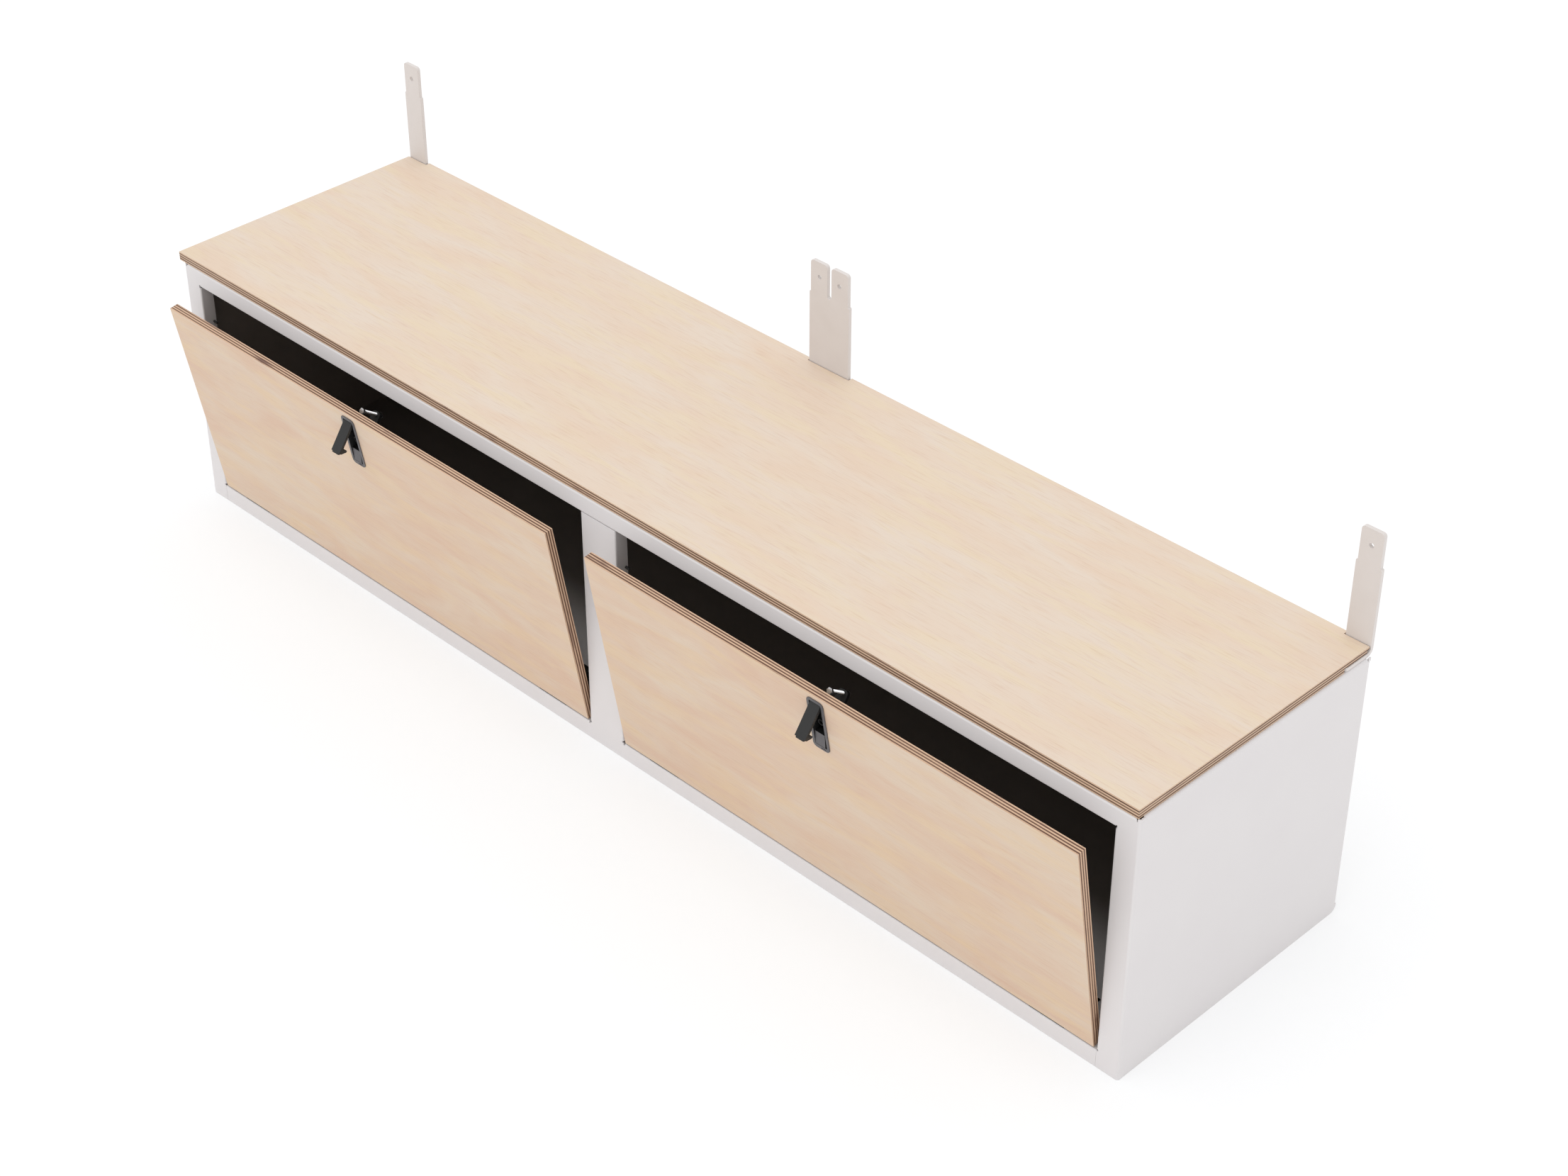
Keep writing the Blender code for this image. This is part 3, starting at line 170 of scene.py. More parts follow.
# Satin polyester powder coat on steel: a dielectric skin with soft highlights, its ripples 1.2 mm apart.
powder_coat, coat_shader = new_material("satin_powder_coat", roughness=0.42)
mottle(powder_coat, coat_shader, cells=9.0, detail=2.0, low="#D8D4D5", high="#DCD9D9")
orange_peel(powder_coat, coat_shader, cells=830.0, strength=0.25)

# The faces inside get a grey painted shade instead of the white coat, which makes the room within dark.
inside_painted_shade, inside_shade_shader = new_material("interior_painted_shade_coat", roughness=0.62)
mottle(inside_painted_shade, inside_shade_shader, cells=14.0, detail=4.0, low="#7F7771", high="#8E8680")


def faces_in_painted_shade(face):
    """Whether a face of the sheets looks into the cabinet, and so gets the painted shade."""
    x, y, z = face.center
    return abs(x) < INNER_SIDE and INNER_FRONT < y < INNER_REAR and INNER_LOW < z < INNER_HIGH


shell = fine_copy("shell_sheet", "outer_shell", SHEET_EDGE)
finish_piece(shell, powder_coat, "cabinet", "powder_coated_sheet", "outer_shell")
# The shell's faces inside take the grey painted shade.
second_finish(shell, inside_painted_shade, faces_in_painted_shade)


# The floor pan is a second sheet: the bottom rail and the middle post are folded up and down from the floor.
# It sits inside the shell, welded behind the stiles, in the same coat.

# On the floor's upper side the white coat is painted light near the front, fading into a grey painted shade
# from 130 to 250 mm behind the front.
PAINTED_SHADE_START = -0.11
PAINTED_SHADE_FULL = 0.01
# A face looks a given way when its normal's share of that way is past this.
FACING_SHARE = 0.9

# White stands for the daylight through the gaps near the front, grey for the shade deeper in: painted light
# and shade.
floor_painted_light_and_shade, floor_light_shade_shader = new_material("floor_painted_light_and_shade_coat", roughness=0.5)
place = node(floor_painted_light_and_shade, "ShaderNodeTexCoord")
parts = node(floor_painted_light_and_shade, "ShaderNodeSeparateXYZ", {"Vector": place.outputs["Object"]})
reach = node(floor_painted_light_and_shade, "ShaderNodeMapRange",
             {"Value": parts.outputs["Y"], "From Min": PAINTED_SHADE_START, "From Max": PAINTED_SHADE_FULL},
             interpolation_type="SMOOTHSTEP")
cloud = node(floor_painted_light_and_shade, "ShaderNodeTexNoise",
             {"Vector": place.outputs["Object"], "Scale": 12.0, "Detail": 4.0})
rear_painted_shade = node(floor_painted_light_and_shade, "ShaderNodeMix",
              {"Factor": cloud.outputs["Fac"], FIRST: linear("#6B6560"), SECOND: linear("#7A746F")},
              data_type="RGBA")
tint = node(floor_painted_light_and_shade, "ShaderNodeMix",
            {"Factor": reach.outputs["Result"], FIRST: linear("#ECEAEA"), SECOND: rear_painted_shade.outputs[MIXED]},
            data_type="RGBA")
joined(floor_painted_light_and_shade, tint.outputs[MIXED], floor_light_shade_shader, "Base Color")


def faces_up(face):
    """Whether a face of the pan is the floor's upper side, behind the bottom rail."""
    return face.normal.z > FACING_SHARE and face.center.y > INNER_FRONT


pan = fine_copy("floor_sheet", "floor_pan", SHEET_EDGE)
finish_piece(pan, powder_coat, "cabinet", "powder_coated_sheet", "floor_pan")
# The floor's upper side takes the painted light and shade.
second_finish(pan, floor_painted_light_and_shade, faces_up)


# The back panel closes the rear and carries a wide flange under the mounting brackets.
# It is riveted to the shell's rear flanges from outside.

back = fine_copy("back_sheet", "back_panel", SHEET_EDGE)
finish_piece(back, powder_coat, "cabinet", "powder_coated_sheet", "back_panel")
# The back's faces inside take the grey painted shade.
second_finish(back, inside_painted_shade, faces_in_painted_shade)


# The bearer is a hat channel of the same sheet, spot welded under the floor from front to rear.
# The cabinet stands on it and on the lower edges of its ends.

bearer = fine_copy("bearer_channel", "floor_bearer", SHEET_EDGE)
finish_piece(bearer, powder_coat, "cabinet", "powder_coated_sheet", "floor_bearer")


# Blind rivets with 8 mm domed heads hold the back panel to the rear flanges of both ends.
# They are set before coating, so they share the sheet's white coat.

RIVET_X = 0.984
RIVET_FACE = 0.2395
RIVET_HEIGHTS = (0.070, 0.150, 0.230, 0.310, 0.390)
RIVET_RADIUS = 0.004
RIVET_DOME = 0.0012
HEAD_SIDES = 32
DOME_SHARE = 0.9
DOME_STEPS = 5
DOME_ANGLE = math.radians(50)


def turn_to(outward):
    """The turn that takes an upright shape to a direction."""
    return Vector((0, 0, 1)).rotation_difference(Vector(outward)).to_matrix().to_4x4()


def domed_head(radius, height, centre, outward):
    """A domed rivet or screw head, its flat side on the face that it sits on."""
    bpy.ops.object.select_all(action="DESELECT")
    bpy.ops.mesh.primitive_cylinder_add(vertices=HEAD_SIDES, radius=radius, depth=height,
                                        location=(0, 0, height / 2))
    head = bpy.context.object
    bpy.ops.object.transform_apply(location=True, rotation=True, scale=True)
    bpy.ops.object.mode_set(mode="EDIT")
    bpy.ops.mesh.select_mode(type="FACE")
    bpy.ops.mesh.select_all(action="DESELECT")
    bpy.ops.object.mode_set(mode="OBJECT")
    for face in head.data.polygons:
        face.select = face.normal.z > FACING_SHARE
    bpy.ops.object.mode_set(mode="EDIT")
    bpy.ops.mesh.bevel(offset=height * DOME_SHARE, offset_type="OFFSET", segments=DOME_STEPS, affect="EDGES")
    bpy.ops.object.mode_set(mode="OBJECT")
    bpy.ops.object.shade_smooth_by_angle(angle=DOME_ANGLE)
    head.data.transform(Matrix.Translation(centre) @ turn_to(outward))
    return head


def one_piece(name, members):
    """Joins like small pieces into one named piece at the origin."""
    bpy.ops.object.select_all(action="DESELECT")
    for member in members:
        member.select_set(True)
    bpy.context.view_layer.objects.active = members[0]
    bpy.ops.object.join()
    members[0].name = name
    return members[0]


rivets = [domed_head(RIVET_RADIUS, RIVET_DOME, (side * RIVET_X, RIVET_FACE, height), (0, 1, 0))
          for side in (-1, 1) for height in RIVET_HEIGHTS]
finish_piece(one_piece("rear_rivets", rivets), powder_coat, "cabinet", "powder_coated_sheet")


# A short weld closes the relief slot at the top of each end, just behind the stile.
# It is ground almost flush with the sheet and coated with it.

WELD_X, WELD_Y, WELD_Z = 0.9984, -0.2322, 0.4422
WELD_SIZE = (0.0030, 0.0064, 0.0049)
WELD_ROUNDING = 0.0006
WELD_STEPS = 3

welds = []
for side in (-1, 1):
    bpy.ops.object.select_all(action="DESELECT")
    bpy.ops.mesh.primitive_cube_add(size=1.0, location=(side * WELD_X, WELD_Y, WELD_Z), scale=WELD_SIZE)
    bpy.ops.object.transform_apply(location=True, rotation=True, scale=True)
    weld = bpy.context.object
    ease = weld.modifiers.new("ease", "BEVEL")
    ease.width = WELD_ROUNDING
    ease.segments = WELD_STEPS
    bpy.ops.object.modifier_apply(modifier=ease.name)
    bpy.ops.object.shade_smooth_by_angle(angle=CREASE_ANGLE)
    welds.append(weld)
finish_piece(one_piece("corner_welds", welds), powder_coat, "cabinet", "powder_coated_sheet")


# The seat board is 15 mm birch plywood, its long grain along the bench.
# It is cut square, its arrises are eased with fine paper, and it is finished with a clear matt oil.

BOARD_UNDERSIDE = 0.4448
BOARD_THICKNESS = 0.015
BOARD_EDGE = 0.0006
FIBRE_RELIEF = 0.00005

# Plies on the edges: seven are drawn where such a board has about eleven, which are too fine to show.
PLY_COUNT = 7
PLY_WANDER = 0.30
PLY_SHIFT = 0.65
SHADE_SHARE = 0.9
PORE_SHARE = 0.25
FACE_SHARE = 0.8

# How many cells of each pattern there are to the metre, along the grain, across it and through the board.
# The veneer is rotary cut: soft clouds of heartwood and sapwood, some 250 mm long and 70 mm wide.
CLOUD_CELLS = (4.0, 15, 15)
# Over them run paler streaks, some 150 mm long and 24 mm wide.
STREAK_CELLS = (6.5, 42, 42)
STREAK_SHIFT = (3.7, 1.3, 0.0)
# Fibre dashes about 2 mm wide and 45 mm long, coarser than real vessels, which are too fine to show.
FIBRE_CELLS = (22, 480, 480)
# Each ply has its own shade, and the cross plies are open grained, with pores about 4 mm long to show.
SHADE_CELLS = (3, 3, 300)
PORE_CELLS = (240, 240, 700)
# Here and there a dark knot or a glue stain runs some 50 mm along the plies.
STAIN_CELLS = (13, 13, 110)
STAIN_SHIFT = (0.7, 0.0, 0.0)


def drawn_out(material, vector, cells, noise, shift=(0.0, 0.0, 0.0)):
    """Noise that is stretched to so many cells to the metre each way, and shifted."""
    space = node(material, "ShaderNodeMapping", {"Vector": vector, "Scale": cells, "Location": shift})
    made = node(material, "ShaderNodeTexNoise", {"Vector": space.outputs["Vector"], "Scale": 1.0, **noise})
    return made.outputs["Fac"]


def birch_plywood(name, turn, offset, cool, rosy, cream, pale, dark):
    """Plywood whose plies lie across the mapped Z, from 0 to 15 mm, with the grain of the faces along X."""
    material, shader = new_material(name, roughness=0.55)
    place = node(material, "ShaderNodeTexCoord")
    ply_space = node(material, "ShaderNodeMapping", {"Vector": place.outputs["Object"],
                                                     "Rotation": (turn, 0, 0), "Location": (0, 0, offset)})
    facing = node(material, "ShaderNodeMapping",
                  {"Vector": place.outputs["Normal"], "Rotation": (turn, 0, 0)}, vector_type="NORMAL")
    spot = ply_space.outputs["Vector"]
    parts = node(material, "ShaderNodeSeparateXYZ", {"Vector": spot})
    face_parts = node(material, "ShaderNodeSeparateXYZ", {"Vector": facing.outputs["Vector"]})

    # The faces: rosy and cool clouds, cream streaks over them, then the brown fibres.
    cloud = drawn_out(material, spot, CLOUD_CELLS, {"Detail": 3.0, "Roughness": 0.55, "Distortion": 0.9})
    clouded = node(material, "ShaderNodeMapRange", {"Value": cloud, "From Min": 0.34, "From Max": 0.66})
    face = node(material, "ShaderNodeMix",
                {"Factor": clouded.outputs["Result"], FIRST: linear(rosy), SECOND: linear(cool)},
                data_type="RGBA")
    streak = drawn_out(material, spot, STREAK_CELLS, {"Detail": 2.0, "Distortion": 0.5}, STREAK_SHIFT)
    streaked = node(material, "ShaderNodeMapRange",
                    {"Value": streak, "From Min": 0.46, "From Max": 0.72, "To Max": 0.8})
    face = node(material, "ShaderNodeMix",
                {"Factor": streaked.outputs["Result"], FIRST: face.outputs[MIXED], SECOND: linear(cream)},
                data_type="RGBA")
    fibre = drawn_out(material, spot, FIBRE_CELLS, {"Detail": 3.0, "Roughness": 0.6, "Distortion": 0.1})
    dashed = node(material, "ShaderNodeMapRange",
                  {"Value": fibre, "From Min": 0.52, "From Max": 0.78, "To Max": 0.30})
    face = node(material, "ShaderNodeMix",
                {"Factor": dashed.outputs["Result"], FIRST: face.outputs[MIXED], SECOND: linear("#B98F70")},
                data_type="RGBA")

    # The edges: the height through the board in plies, which wander a little as the veneers do.
    wander = node(material, "ShaderNodeTexNoise",
                  {"Vector": place.outputs["Object"], "Scale": 11.0, "Detail": 2.0})
    ply = node(material, "ShaderNodeMath", {0: parts.outputs["Z"], 1: PLY_COUNT / BOARD_THICKNESS},
               operation="MULTIPLY")
    ply = node(material, "ShaderNodeMath", {0: wander.outputs["Fac"], 1: PLY_WANDER, 2: ply.outputs[0]},
               operation="MULTIPLY_ADD")
    ply = node(material, "ShaderNodeMath", {0: ply.outputs[0], 1: PLY_SHIFT}, operation="SUBTRACT")
    # The distance from the middle of a pale ply, 0 to 1: past a half it is a cross ply, which is end grain
    # and dark right to its middle.
    wave = node(material, "ShaderNodeMath", {0: ply.outputs[0], 1: 1.0}, operation="PINGPONG")
    cross = node(material, "ShaderNodeMapRange",
                 {"Value": wave.outputs[0], "From Min": 0.38, "From Max": 0.62})
    # Shade and pores move a ply either way, so half of both is taken off again.
    shade = drawn_out(material, spot, SHADE_CELLS, {"Detail": 1.0})
    pore = drawn_out(material, spot, PORE_CELLS, {"Detail": 2.0})
    vary = node(material, "ShaderNodeMath", {0: shade, 1: SHADE_SHARE, 2: cross.outputs["Result"]},
                operation="MULTIPLY_ADD")
    vary = node(material, "ShaderNodeMath", {0: pore, 1: PORE_SHARE, 2: vary.outputs[0]},
                operation="MULTIPLY_ADD")
    vary = node(material, "ShaderNodeMath", {0: vary.outputs[0], 1: (SHADE_SHARE + PORE_SHARE) / 2},
                operation="SUBTRACT", use_clamp=True)
    edge = node(material, "ShaderNodeMix",
                {"Factor": vary.outputs[0], FIRST: linear(pale), SECOND: linear(dark)}, data_type="RGBA")
    stain = drawn_out(material, spot, STAIN_CELLS, {"Detail": 3.0}, STAIN_SHIFT)
    stained = node(material, "ShaderNodeMapRange",
                   {"Value": stain, "From Min": 0.60, "From Max": 0.78, "To Max": 0.85})
    edge = node(material, "ShaderNodeMix",
                {"Factor": stained.outputs["Result"], FIRST: edge.outputs[MIXED], SECOND: linear("#5A3830")},
                data_type="RGBA")

    # A face of the board shows the veneer, and every other side shows the plies.
    flat = node(material, "ShaderNodeMath", {0: face_parts.outputs["Z"]}, operation="ABSOLUTE")
    flat = node(material, "ShaderNodeMath", {0: flat.outputs[0], 1: FACE_SHARE}, operation="GREATER_THAN")
    wood = node(material, "ShaderNodeMix",
                {"Factor": flat.outputs[0], FIRST: edge.outputs[MIXED], SECOND: face.outputs[MIXED]},
                data_type="RGBA")
    joined(material, wood.outputs[MIXED], shader, "Base Color")
    rough = node(material, "ShaderNodeMapRange", {"Value": fibre, "To Min": 0.50, "To Max": 0.62})
    joined(material, rough.outputs["Result"], shader, "Roughness")
    # The sanded fibres stand a little proud, drawn as a weak relief of 50 micrometres.
    raised = node(material, "ShaderNodeBump",
                  {"Height": fibre, "Strength": 0.25, "Distance": FIBRE_RELIEF})
    joined(material, raised.outputs["Normal"], shader, "Normal")
    return material


seat_ply = birch_plywood("oiled_birch_plywood_seat", 0.0, -BOARD_UNDERSIDE, cool="#DACABA", rosy="#DAC4AF",
                         cream="#DCCAAF", pale="#D0B195", dark="#573B2C")
board = fine_copy("seat_board", "top_board", BOARD_EDGE)
finish_piece(board, seat_ply, "cabinet", "birch_plywood", "top_board")


# The mounting brackets are 6 mm steel plates bent to an L: the foot lies under the seat board and the upright
# stands behind it. They are laser cut, so their edges are crisp, and coated a little warmer than the sheet.

PLATE_EDGE = 0.0005

plate_coat, plate_shader = new_material("warm_powder_coat", roughness=0.45)
mottle(plate_coat, plate_shader, cells=25.0, detail=2.0, low="#D3CCC8", high="#DAD4D1")
orange_peel(plate_coat, plate_shader, cells=700.0, strength=0.3)

for position in ("left", "centre", "right"):
    plate = fine_copy(f"plate_{position}", f"bracket_{position}", PLATE_EDGE)
    finish_piece(plate, plate_coat, "cabinet", "powder_coated_plate", f"bracket_{position}")


# Countersunk M6 bolts and hexagon nuts fix the feet to the flanges, and pan head screws hold the board.
# All are turned or rolled steel with bright zinc plate.

BOLT_EDGE = 0.0002
NUT_EDGE = 0.0004
SCREW_EDGE = 0.0003
BOLT_COUNT = 6
SCREW_COUNT = 4
SOCKET_SIZE = 0.0046
SOCKET_DEPTH = 0.0022
SOCKET_SIDES = 6
CROSS_SIZE = 0.0038
CROSS_DEPTH = 0.0008
BAR_SHARE = 0.24
# Every drive is drawn turned by this, since a fastener that is tight seldom stops square to the cabinet.
DRIVE_TURN = 0.4
HEAD_TOLERANCE = 0.00005


def cut(piece, cutter):
    """Cuts one piece with another, and removes the cutter."""
    activate(piece)
    step = piece.modifiers.new("cut", "BOOLEAN")
    step.object = cutter
    step.solver = "EXACT"
    bpy.ops.object.modifier_apply(modifier=step.name)
    bpy.data.objects.remove(cutter, do_unlink=True)
    bpy.ops.object.shade_smooth_by_angle(angle=CREASE_ANGLE)


def recess(piece, outward, size, depth, sides=0):
    """Sinks a drive into the head of a fastener: a cross of two bars, or a socket with some sides."""
    outward = Vector(outward).normalized()
    reach = max(vertex.co.dot(outward) for vertex in piece.data.vertices)
    top = [vertex.co for vertex in piece.data.vertices if reach - vertex.co.dot(outward) < HEAD_TOLERANCE]
    centre = sum(top, Vector()) / len(top)
    angles = [0.0] if sides else [0.0, math.pi / 2]
    for angle in angles:
        bpy.ops.object.select_all(action="DESELECT")
        if sides:
            bpy.ops.mesh.primitive_cylinder_add(vertices=sides, radius=size / 2, depth=2 * depth)
        else:
            bpy.ops.mesh.primitive_cube_add(size=1.0, scale=(size, size * BAR_SHARE, 2 * depth))
            bpy.ops.object.transform_apply(location=True, rotation=True, scale=True)
        cutter = bpy.context.object
        spin = Matrix.Rotation(angle + DRIVE_TURN, 4, "Z")
        cutter.data.transform(Matrix.Translation(centre) @ turn_to(outward) @ spin)
        cut(piece, cutter)


# Bright zinc plate is a pale, slightly blue metal, patchy in shade and in gloss.
zinc, zinc_shader = new_material("bright_zinc_plate", roughness=0.30, metallic=1.0)
patch = mottle(zinc, zinc_shader, cells=260.0, detail=3.0, low="#A9A9AC", high="#C9C9CB")
rough = node(zinc, "ShaderNodeMapRange", {"Value": patch, "To Min": 0.22, "To Max": 0.38})
joined(zinc, rough.outputs["Result"], zinc_shader, "Roughness")

for number in range(1, BOLT_COUNT + 1):
    bolt = fine_copy(f"foot_bolt_{number}", f"bracket_bolt_{number}", BOLT_EDGE)
    recess(bolt, (0, 0, 1), SOCKET_SIZE, SOCKET_DEPTH, SOCKET_SIDES)
    finish_piece(bolt, zinc, "cabinet", "zinc_steel", f"bracket_bolt_{number}")
    nut = fine_copy(f"foot_nut_{number}", f"bracket_nut_{number}", NUT_EDGE)
    finish_piece(nut, zinc, "cabinet", "zinc_steel", f"bracket_nut_{number}")
for number in range(1, SCREW_COUNT + 1):
    screw = fine_copy(f"board_screw_{number}", f"seat_screw_{number}", SCREW_EDGE)
    recess(screw, (0, 0, -1), CROSS_SIZE, CROSS_DEPTH)
    finish_piece(screw, zinc, "cabinet", "zinc_steel", f"seat_screw_{number}")


# The doors are the same 15 mm birch plywood, drawn ajar as in the photograph: each leans out by 9.88 degrees
# about the hinge pins along its bottom edge. Their grain runs along the bench too.

DOOR_LEAN = math.radians(9.88)
# The depth and height of the hinge pins, which lie DOOR_SET_BACK behind the doors' front faces.
HINGE_LINE = (-0.2375, 0.0311)
DOOR_SET_BACK = 0.002
PLY_TURN = math.pi / 2 - DOOR_LEAN

ply_offset = DOOR_SET_BACK - HINGE_LINE[0] * math.sin(PLY_TURN) - HINGE_LINE[1] * math.cos(PLY_TURN)
# The doors' face colours are a darker, rosier copy of the seat's: painted shade on the upright doors.
door_ply_painted_shade = birch_plywood("oiled_birch_plywood_door_painted_shade", PLY_TURN, ply_offset, cool="#D5C2AE", rosy="#D2B59E",
                         cream="#D8BF9F", pale="#D1AF92", dark="#5E3E2C")
for side in ("left", "right"):
    door = fine_copy(f"door_panel_{side}", f"door_{side}", BOARD_EDGE)
    finish_piece(door, door_ply_painted_shade, f"door_{side}", "birch_plywood", f"door_{side}")


# Small round rubber buffers, plugged into the returns beside each opening, stop the doors when they shut.
# They are moulded, matt black and domed at the end.

STOP_COUNT = 4
STOP_EDGE = 0.0009
STOP_STEPS = 4

# Moulded rubber is a soft, dull black, with a little dust on it.
rubber, rubber_shader = new_material("black_rubber", roughness=0.75, ior=1.52)
mottle(rubber, rubber_shader, cells=400.0, detail=3.0, low="#1B1B1B", high="#2B2A2A")
for number in range(1, STOP_COUNT + 1):
    buffer = fine_copy(f"buffer_{number}", f"door_stop_{number}", STOP_EDGE, STOP_STEPS)
    finish_piece(buffer, rubber, "cabinet", "stop_rubber", f"door_stop_{number}")


# The hinges are pressed from 1 mm black steel: a base with a raised block on the floor, a leaf folded round
# the door's bottom edge and screwed to its back, and a thin steel pin through the knuckles.

HINGE_EDGE = 0.0002

# Black paint on steel is half gloss and faintly uneven, as it follows the metal under it.
black_steel, steel_shader = new_material("black_painted_steel", roughness=0.38)
wear = mottle(black_steel, steel_shader, cells=320.0, detail=4.0, low="#161616", high="#272625")
skin = node(black_steel, "ShaderNodeBump", {"Height": wear, "Strength": 0.2, "Distance": FINE_RELIEF})
joined(black_steel, skin.outputs["Normal"], steel_shader, "Normal")

for side in ("left", "right"):
    for number in (1, 2):
        base = fine_copy(f"hinge_foot_{side}_{number}", f"hinge_base_{side}_{number}", HINGE_EDGE)
        finish_piece(base, black_steel, "cabinet", "black_steel", f"hinge_base_{side}_{number}")
        leaf = fine_copy(f"hinge_plate_{side}_{number}", f"hinge_leaf_{side}_{number}", HINGE_EDGE)
        finish_piece(leaf, black_steel, f"door_{side}", "black_steel", f"hinge_leaf_{side}_{number}")
        pin = fine_copy(f"hinge_rod_{side}_{number}", f"hinge_pin_{side}_{number}", HINGE_EDGE)
        finish_piece(pin, zinc, "cabinet", "zinc_steel", f"hinge_pin_{side}_{number}")


# Four short black wood screws hold each hinge leaf to the door's rear face, their pan heads on the leaf.
# They are hardened steel with cross recesses.

# How far each door's middle is from the cabinet's, each hinge's from the door's, and each screw's from the
# hinge's. The rows are heights over the pins, and the leaf's rear face is LEAF_FACE behind them.
DOOR_MIDDLE = 0.49925
HINGE_SPREAD = 0.37425
SCREW_SPREAD = 0.020
SCREW_ROWS = (0.0192, 0.0452)
LEAF_FACE = 0.0143
LEAF_SCREW_RADIUS = 0.0031
LEAF_SCREW_DOME = 0.0014
LEAF_CROSS_SIZE = 0.0036
REARWARD = (0, math.cos(DOOR_LEAN), math.sin(DOOR_LEAN))


def door_point(x, depth, height):
    """A point of a door as it stands ajar, from its depth and height over the hinge line."""
    cosine, sine = math.cos(DOOR_LEAN), math.sin(DOOR_LEAN)
    return (x, HINGE_LINE[0] + depth * cosine - height * sine, HINGE_LINE[1] + depth * sine + height * cosine)


for side, sign in (("left", -1), ("right", 1)):
    heads = []
    for hinge in (-HINGE_SPREAD, HINGE_SPREAD):
        for step in (-SCREW_SPREAD, SCREW_SPREAD):
            for row in SCREW_ROWS:
                spot = door_point(sign * DOOR_MIDDLE + hinge + step, LEAF_FACE, row)
                head = domed_head(LEAF_SCREW_RADIUS, LEAF_SCREW_DOME, spot, REARWARD)
                recess(head, REARWARD, LEAF_CROSS_SIZE, CROSS_DEPTH)
                heads.append(head)
    finish_piece(one_piece(f"leaf_screws_{side}", heads), black_steel, f"door_{side}", "black_steel")


# The latches are flush lever latches moulded in black glass-filled nylon: a bezel round a pocket, and a
# finger lever with a rear arm. A strap behind the door clamps the tub, with two small screws.

BEZEL_EDGE = 0.0002
BEZEL_DEPTH = 0.0036
LEVER_EDGE = 0.0003
PIN_EDGE = 0.0003
LEVER_OUT = math.radians(44.6)

# The adjusting bolts are M6 with a 1 mm thread, polished, so its flanks catch the daylight above the door.
# BOLT_FACE is the depth and height of the head's face, and both starts are measured along from it.
# The crest and the shank's limit are measured out from the bolt's axis.
BOLT_FACE = (-0.275542, 0.396638)
BOLT_ALONG = Vector((0, math.cos(LEVER_OUT - DOOR_LEAN), -math.sin(LEVER_OUT - DOOR_LEAN)))
BOLT_STEPS = 3
HEAD_EDGE = 0.0004
THREAD_PITCH = 0.001
THREAD_TURNS = 38
THREAD_START = 0.0048
THREAD_CREST = 0.003
THREAD_SIZE = 0.00056
THREAD_SIDES = 3
TURN_STEPS = 24
ROOT_SHARE = 0.86
SHANK_START = 0.0035
SHANK_LIMIT = 0.0036


def filled_nylon(name, roughness, low, high):
    """Glass-filled nylon: matt, with the 1 mm grain of a spark-eroded mould, drawn as a weak relief."""
    material, shader = new_material(name, roughness, ior=1.53)
    speck = mottle(material, shader, cells=900.0, detail=2.0, low=low, high=high)
    skin = node(material, "ShaderNodeBump", {"Height": speck, "Strength": 0.35, "Distance": FINE_RELIEF})
    joined(material, skin.outputs["Normal"], shader, "Normal")
    return material


bezel_nylon = filled_nylon("grey_filled_nylon", 0.50, "#504E51", "#5A585B")
# The pocket's near-black is painted shade deep in the recess.
latch_pocket_painted_shade = filled_nylon("latch_pocket_painted_shade_nylon", 0.60, "#0D0D0D", "#141414")
lever_nylon = filled_nylon("black_filled_nylon", 0.55, "#101010", "#181818")
# The adjusting bolts get a glossier copy of the zinc plate, made paler as a painted highlight.
zinc_painted_highlight, highlight_zinc_shader = new_material("zinc_plate_painted_highlight", roughness=0.25, metallic=1.0)
mottle(zinc_painted_highlight, highlight_zinc_shader, cells=420.0, detail=2.0, low="#D2D2D4", high="#E6E6E7")


def paint_pocket_shade(piece):
    """Gives the deep faces of a latch, behind its bezel and scoop, a near-black painted shade."""
    outward = -Vector(REARWARD)
    front = max(vertex.co.dot(outward) for vertex in piece.data.vertices)
    second_finish(piece, latch_pocket_painted_shade, lambda face: front - face.center.dot(outward) > BEZEL_DEPTH)


def wind_thread(name, face):
    """A thread's ridge: a small upright triangle wound round the shank, with its two ends closed."""
    bpy.ops.object.select_all(action="DESELECT")
    bpy.ops.mesh.primitive_circle_add(vertices=THREAD_SIDES, radius=THREAD_SIZE)
    ridge = bpy.context.object
    ridge.name = name
    upright = Matrix(((0, 1, 0, THREAD_CREST - THREAD_SIZE), (0, 0, 1, 0), (1, 0, 0, THREAD_START),
                      (0, 0, 0, 1)))
    ridge.data.transform(upright)
    wind = ridge.modifiers.new("wind", "SCREW")
    wind.screw_offset = THREAD_PITCH
    wind.iterations = THREAD_TURNS
    wind.steps = TURN_STEPS
    wind.render_steps = TURN_STEPS
    bpy.ops.object.modifier_apply(modifier=wind.name)
    ridge.data.transform(Matrix.Translation(face) @ turn_to(BOLT_ALONG))
    bpy.ops.object.mode_set(mode="EDIT")
    bpy.ops.mesh.select_all(action="SELECT")
    bpy.ops.mesh.fill_holes(sides=THREAD_SIDES)
    bpy.ops.mesh.select_all(action="SELECT")
    bpy.ops.mesh.normals_make_consistent(inside=False)
    bpy.ops.object.mode_set(mode="OBJECT")
    bpy.ops.object.shade_smooth_by_angle(angle=CREASE_ANGLE)
    return ridge


def turn_down(bolt, face):
    """Turns a bolt's shank down to the root of its thread."""
    for vertex in bolt.data.vertices:
        offset = vertex.co - Vector(face)
        along = offset.dot(BOLT_ALONG)
        outward = offset - along * BOLT_ALONG
        if along > SHANK_START and outward.length < SHANK_LIMIT:
            vertex.co -= outward * (1 - ROOT_SHARE)


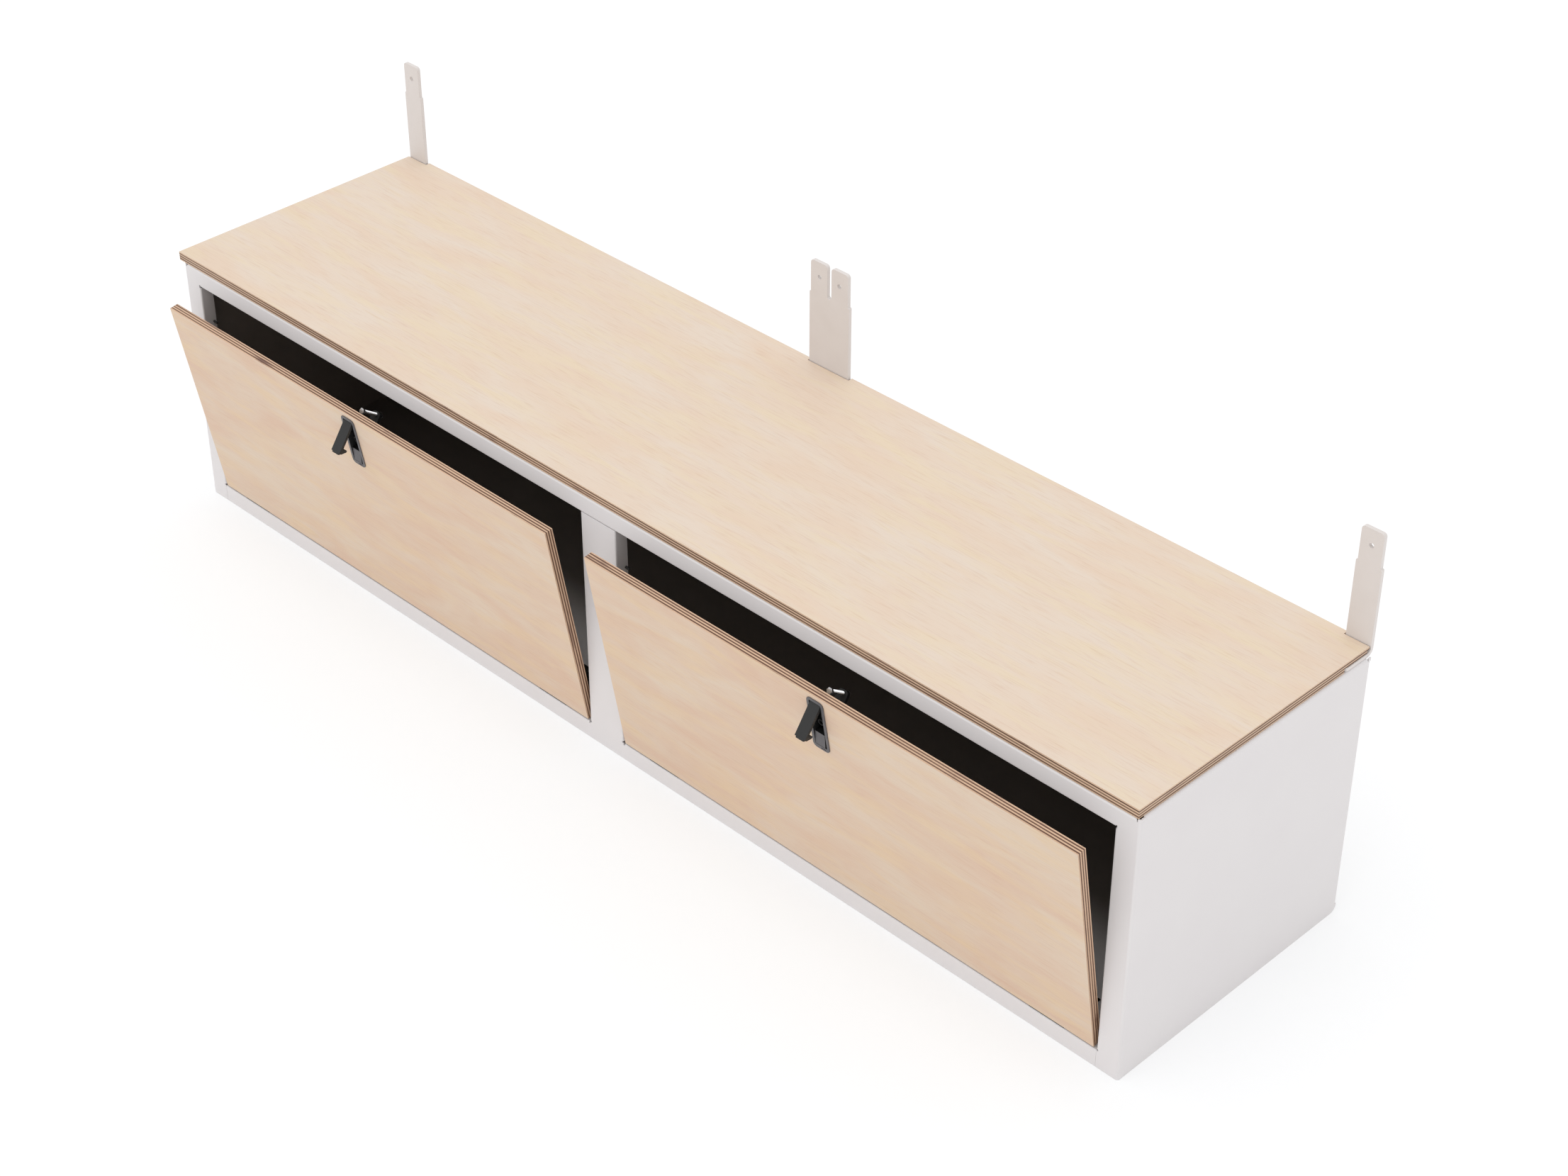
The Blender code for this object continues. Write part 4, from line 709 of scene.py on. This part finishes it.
for side, sign in (("left", -1), ("right", 1)):
    bezel = fine_copy(f"latch_bezel_{side}", f"latch_body_{side}", BEZEL_EDGE)
    finish_piece(bezel, bezel_nylon, f"door_{side}", "black_nylon", f"latch_body_{side}")
    # The deep faces of the pocket take the painted shade.
    paint_pocket_shade(bezel)
    strap = fine_copy(f"latch_strap_{side}", f"latch_clamp_{side}", SHEET_EDGE)
    finish_piece(strap, black_steel, f"door_{side}", "black_steel", f"latch_clamp_{side}")
    for number in (1, 2):
        screw = fine_copy(f"strap_screw_{side}_{number}", f"latch_screw_{side}_{number}", SCREW_EDGE)
        recess(screw, REARWARD, CROSS_SIZE, CROSS_DEPTH)
        finish_piece(screw, zinc, f"door_{side}", "zinc_steel", f"latch_screw_{side}_{number}")
    pin = fine_copy(f"latch_rod_{side}", f"latch_pin_{side}", PIN_EDGE)
    finish_piece(pin, zinc, f"door_{side}", "zinc_steel", f"latch_pin_{side}")
    lever = fine_copy(f"finger_lever_{side}", f"latch_lever_{side}", LEVER_EDGE)
    finish_piece(lever, lever_nylon, f"lever_{side}", "black_nylon", f"latch_lever_{side}")
    head_face = (sign * DOOR_MIDDLE, *BOLT_FACE)
    bolt = fine_copy(f"strike_bolt_{side}", f"latch_bolt_{side}", HEAD_EDGE, BOLT_STEPS)
    turn_down(bolt, head_face)
    thread = wind_thread(f"strike_thread_{side}", head_face)
    # The thread and the bolt take the paler zinc, a painted highlight.
    finish_piece(thread, zinc_painted_highlight, f"lever_{side}", "zinc_steel")
    finish_piece(bolt, zinc_painted_highlight, f"lever_{side}", "zinc_steel", f"latch_bolt_{side}")
    nut = fine_copy(f"lock_nut_{side}", f"latch_nut_{side}", NUT_EDGE, BOLT_STEPS)
    finish_piece(nut, zinc, f"lever_{side}", "zinc_steel", f"latch_nut_{side}")


# The setting is a plain white floor under an even, soft white sky, with one wide lamp above.
# It isn't part of the cabinet.

FLOOR_WIDTH = 40
# The floor lies a hair under the cabinet, so that the two never share a face.
FLOOR_DROP = 0.0002
BACKDROP_SHARE = 0.55
SKY_STRENGTH = 0.95
SKY_SEEN_MORE = 0.05
LAMP_PLACE = (-2, -3, 5)
LAMP_AIM = Vector((0.12, 0.35, -1.0))
LAMP_STRENGTH = 0.7
LAMP_ANGLE = math.radians(60)
# The camera stands where the photograph was taken from, and looks down an isometric line.
CAMERA_PLACE = (2.6606, -2.5220, 2.7682)
CAMERA_AIM = Vector((-1, 1, -1))
CAMERA_LENS = 67.45
CAMERA_SENSOR = 36.0

bpy.ops.object.select_all(action="DESELECT")
bpy.ops.mesh.primitive_plane_add(size=FLOOR_WIDTH, location=(0, 0, -FLOOR_DROP))
floor = bpy.context.object
floor.name = "studio_floor"
floor_paint, floor_shader = new_material("white_studio_floor", roughness=0.9)
floor_shader.inputs["Base Color"].default_value = linear("#FBFBFB")
floor_shader.inputs["Specular IOR Level"].default_value = 0.0
# The camera sees the floor mostly as a white backdrop, with a share of its true shading for the soft shadow.
seen_by = node(floor_paint, "ShaderNodeLightPath")
camera_share = node(floor_paint, "ShaderNodeMath", {0: seen_by.outputs["Is Camera Ray"], 1: BACKDROP_SHARE},
                    operation="MULTIPLY")
backdrop = node(floor_paint, "ShaderNodeEmission", {"Color": linear("#FCFDFE"), "Strength": 1.0})
blend = node(floor_paint, "ShaderNodeMixShader",
             {0: camera_share.outputs[0], 1: floor_shader.outputs["BSDF"], 2: backdrop.outputs["Emission"]})
joined(floor_paint, blend.outputs["Shader"], floor_paint.node_tree.nodes["Material Output"], "Surface")
floor.data.materials.append(floor_paint)

world = bpy.data.worlds.new("white_sky")
world.use_nodes = True
bpy.context.scene.world = world
sky = world.node_tree.nodes["Background"]
sky.inputs["Color"].default_value = linear("#FFFFFF")
# The camera sees the sky as plain white, a little brighter than the light that it gives.
looked_at = node(world, "ShaderNodeLightPath")
strength = node(world, "ShaderNodeMath",
                {0: looked_at.outputs["Is Camera Ray"], 1: SKY_SEEN_MORE, 2: SKY_STRENGTH},
                operation="MULTIPLY_ADD")
joined(world, strength.outputs[0], sky, "Strength")

bpy.ops.object.light_add(type="SUN", location=LAMP_PLACE)
lamp = bpy.context.object
lamp.name = "soft_lamp"
lamp.data.energy = LAMP_STRENGTH
lamp.data.angle = LAMP_ANGLE
lamp.rotation_euler = LAMP_AIM.to_track_quat("-Z", "Y").to_euler()

bpy.ops.object.camera_add(location=CAMERA_PLACE)
camera = bpy.context.object
camera.data.sensor_width = CAMERA_SENSOR
camera.data.lens = CAMERA_LENS
camera.rotation_euler = CAMERA_AIM.to_track_quat("-Z", "Y").to_euler()
bpy.context.scene.camera = camera
bpy.context.scene.view_settings.view_transform = "Standard"
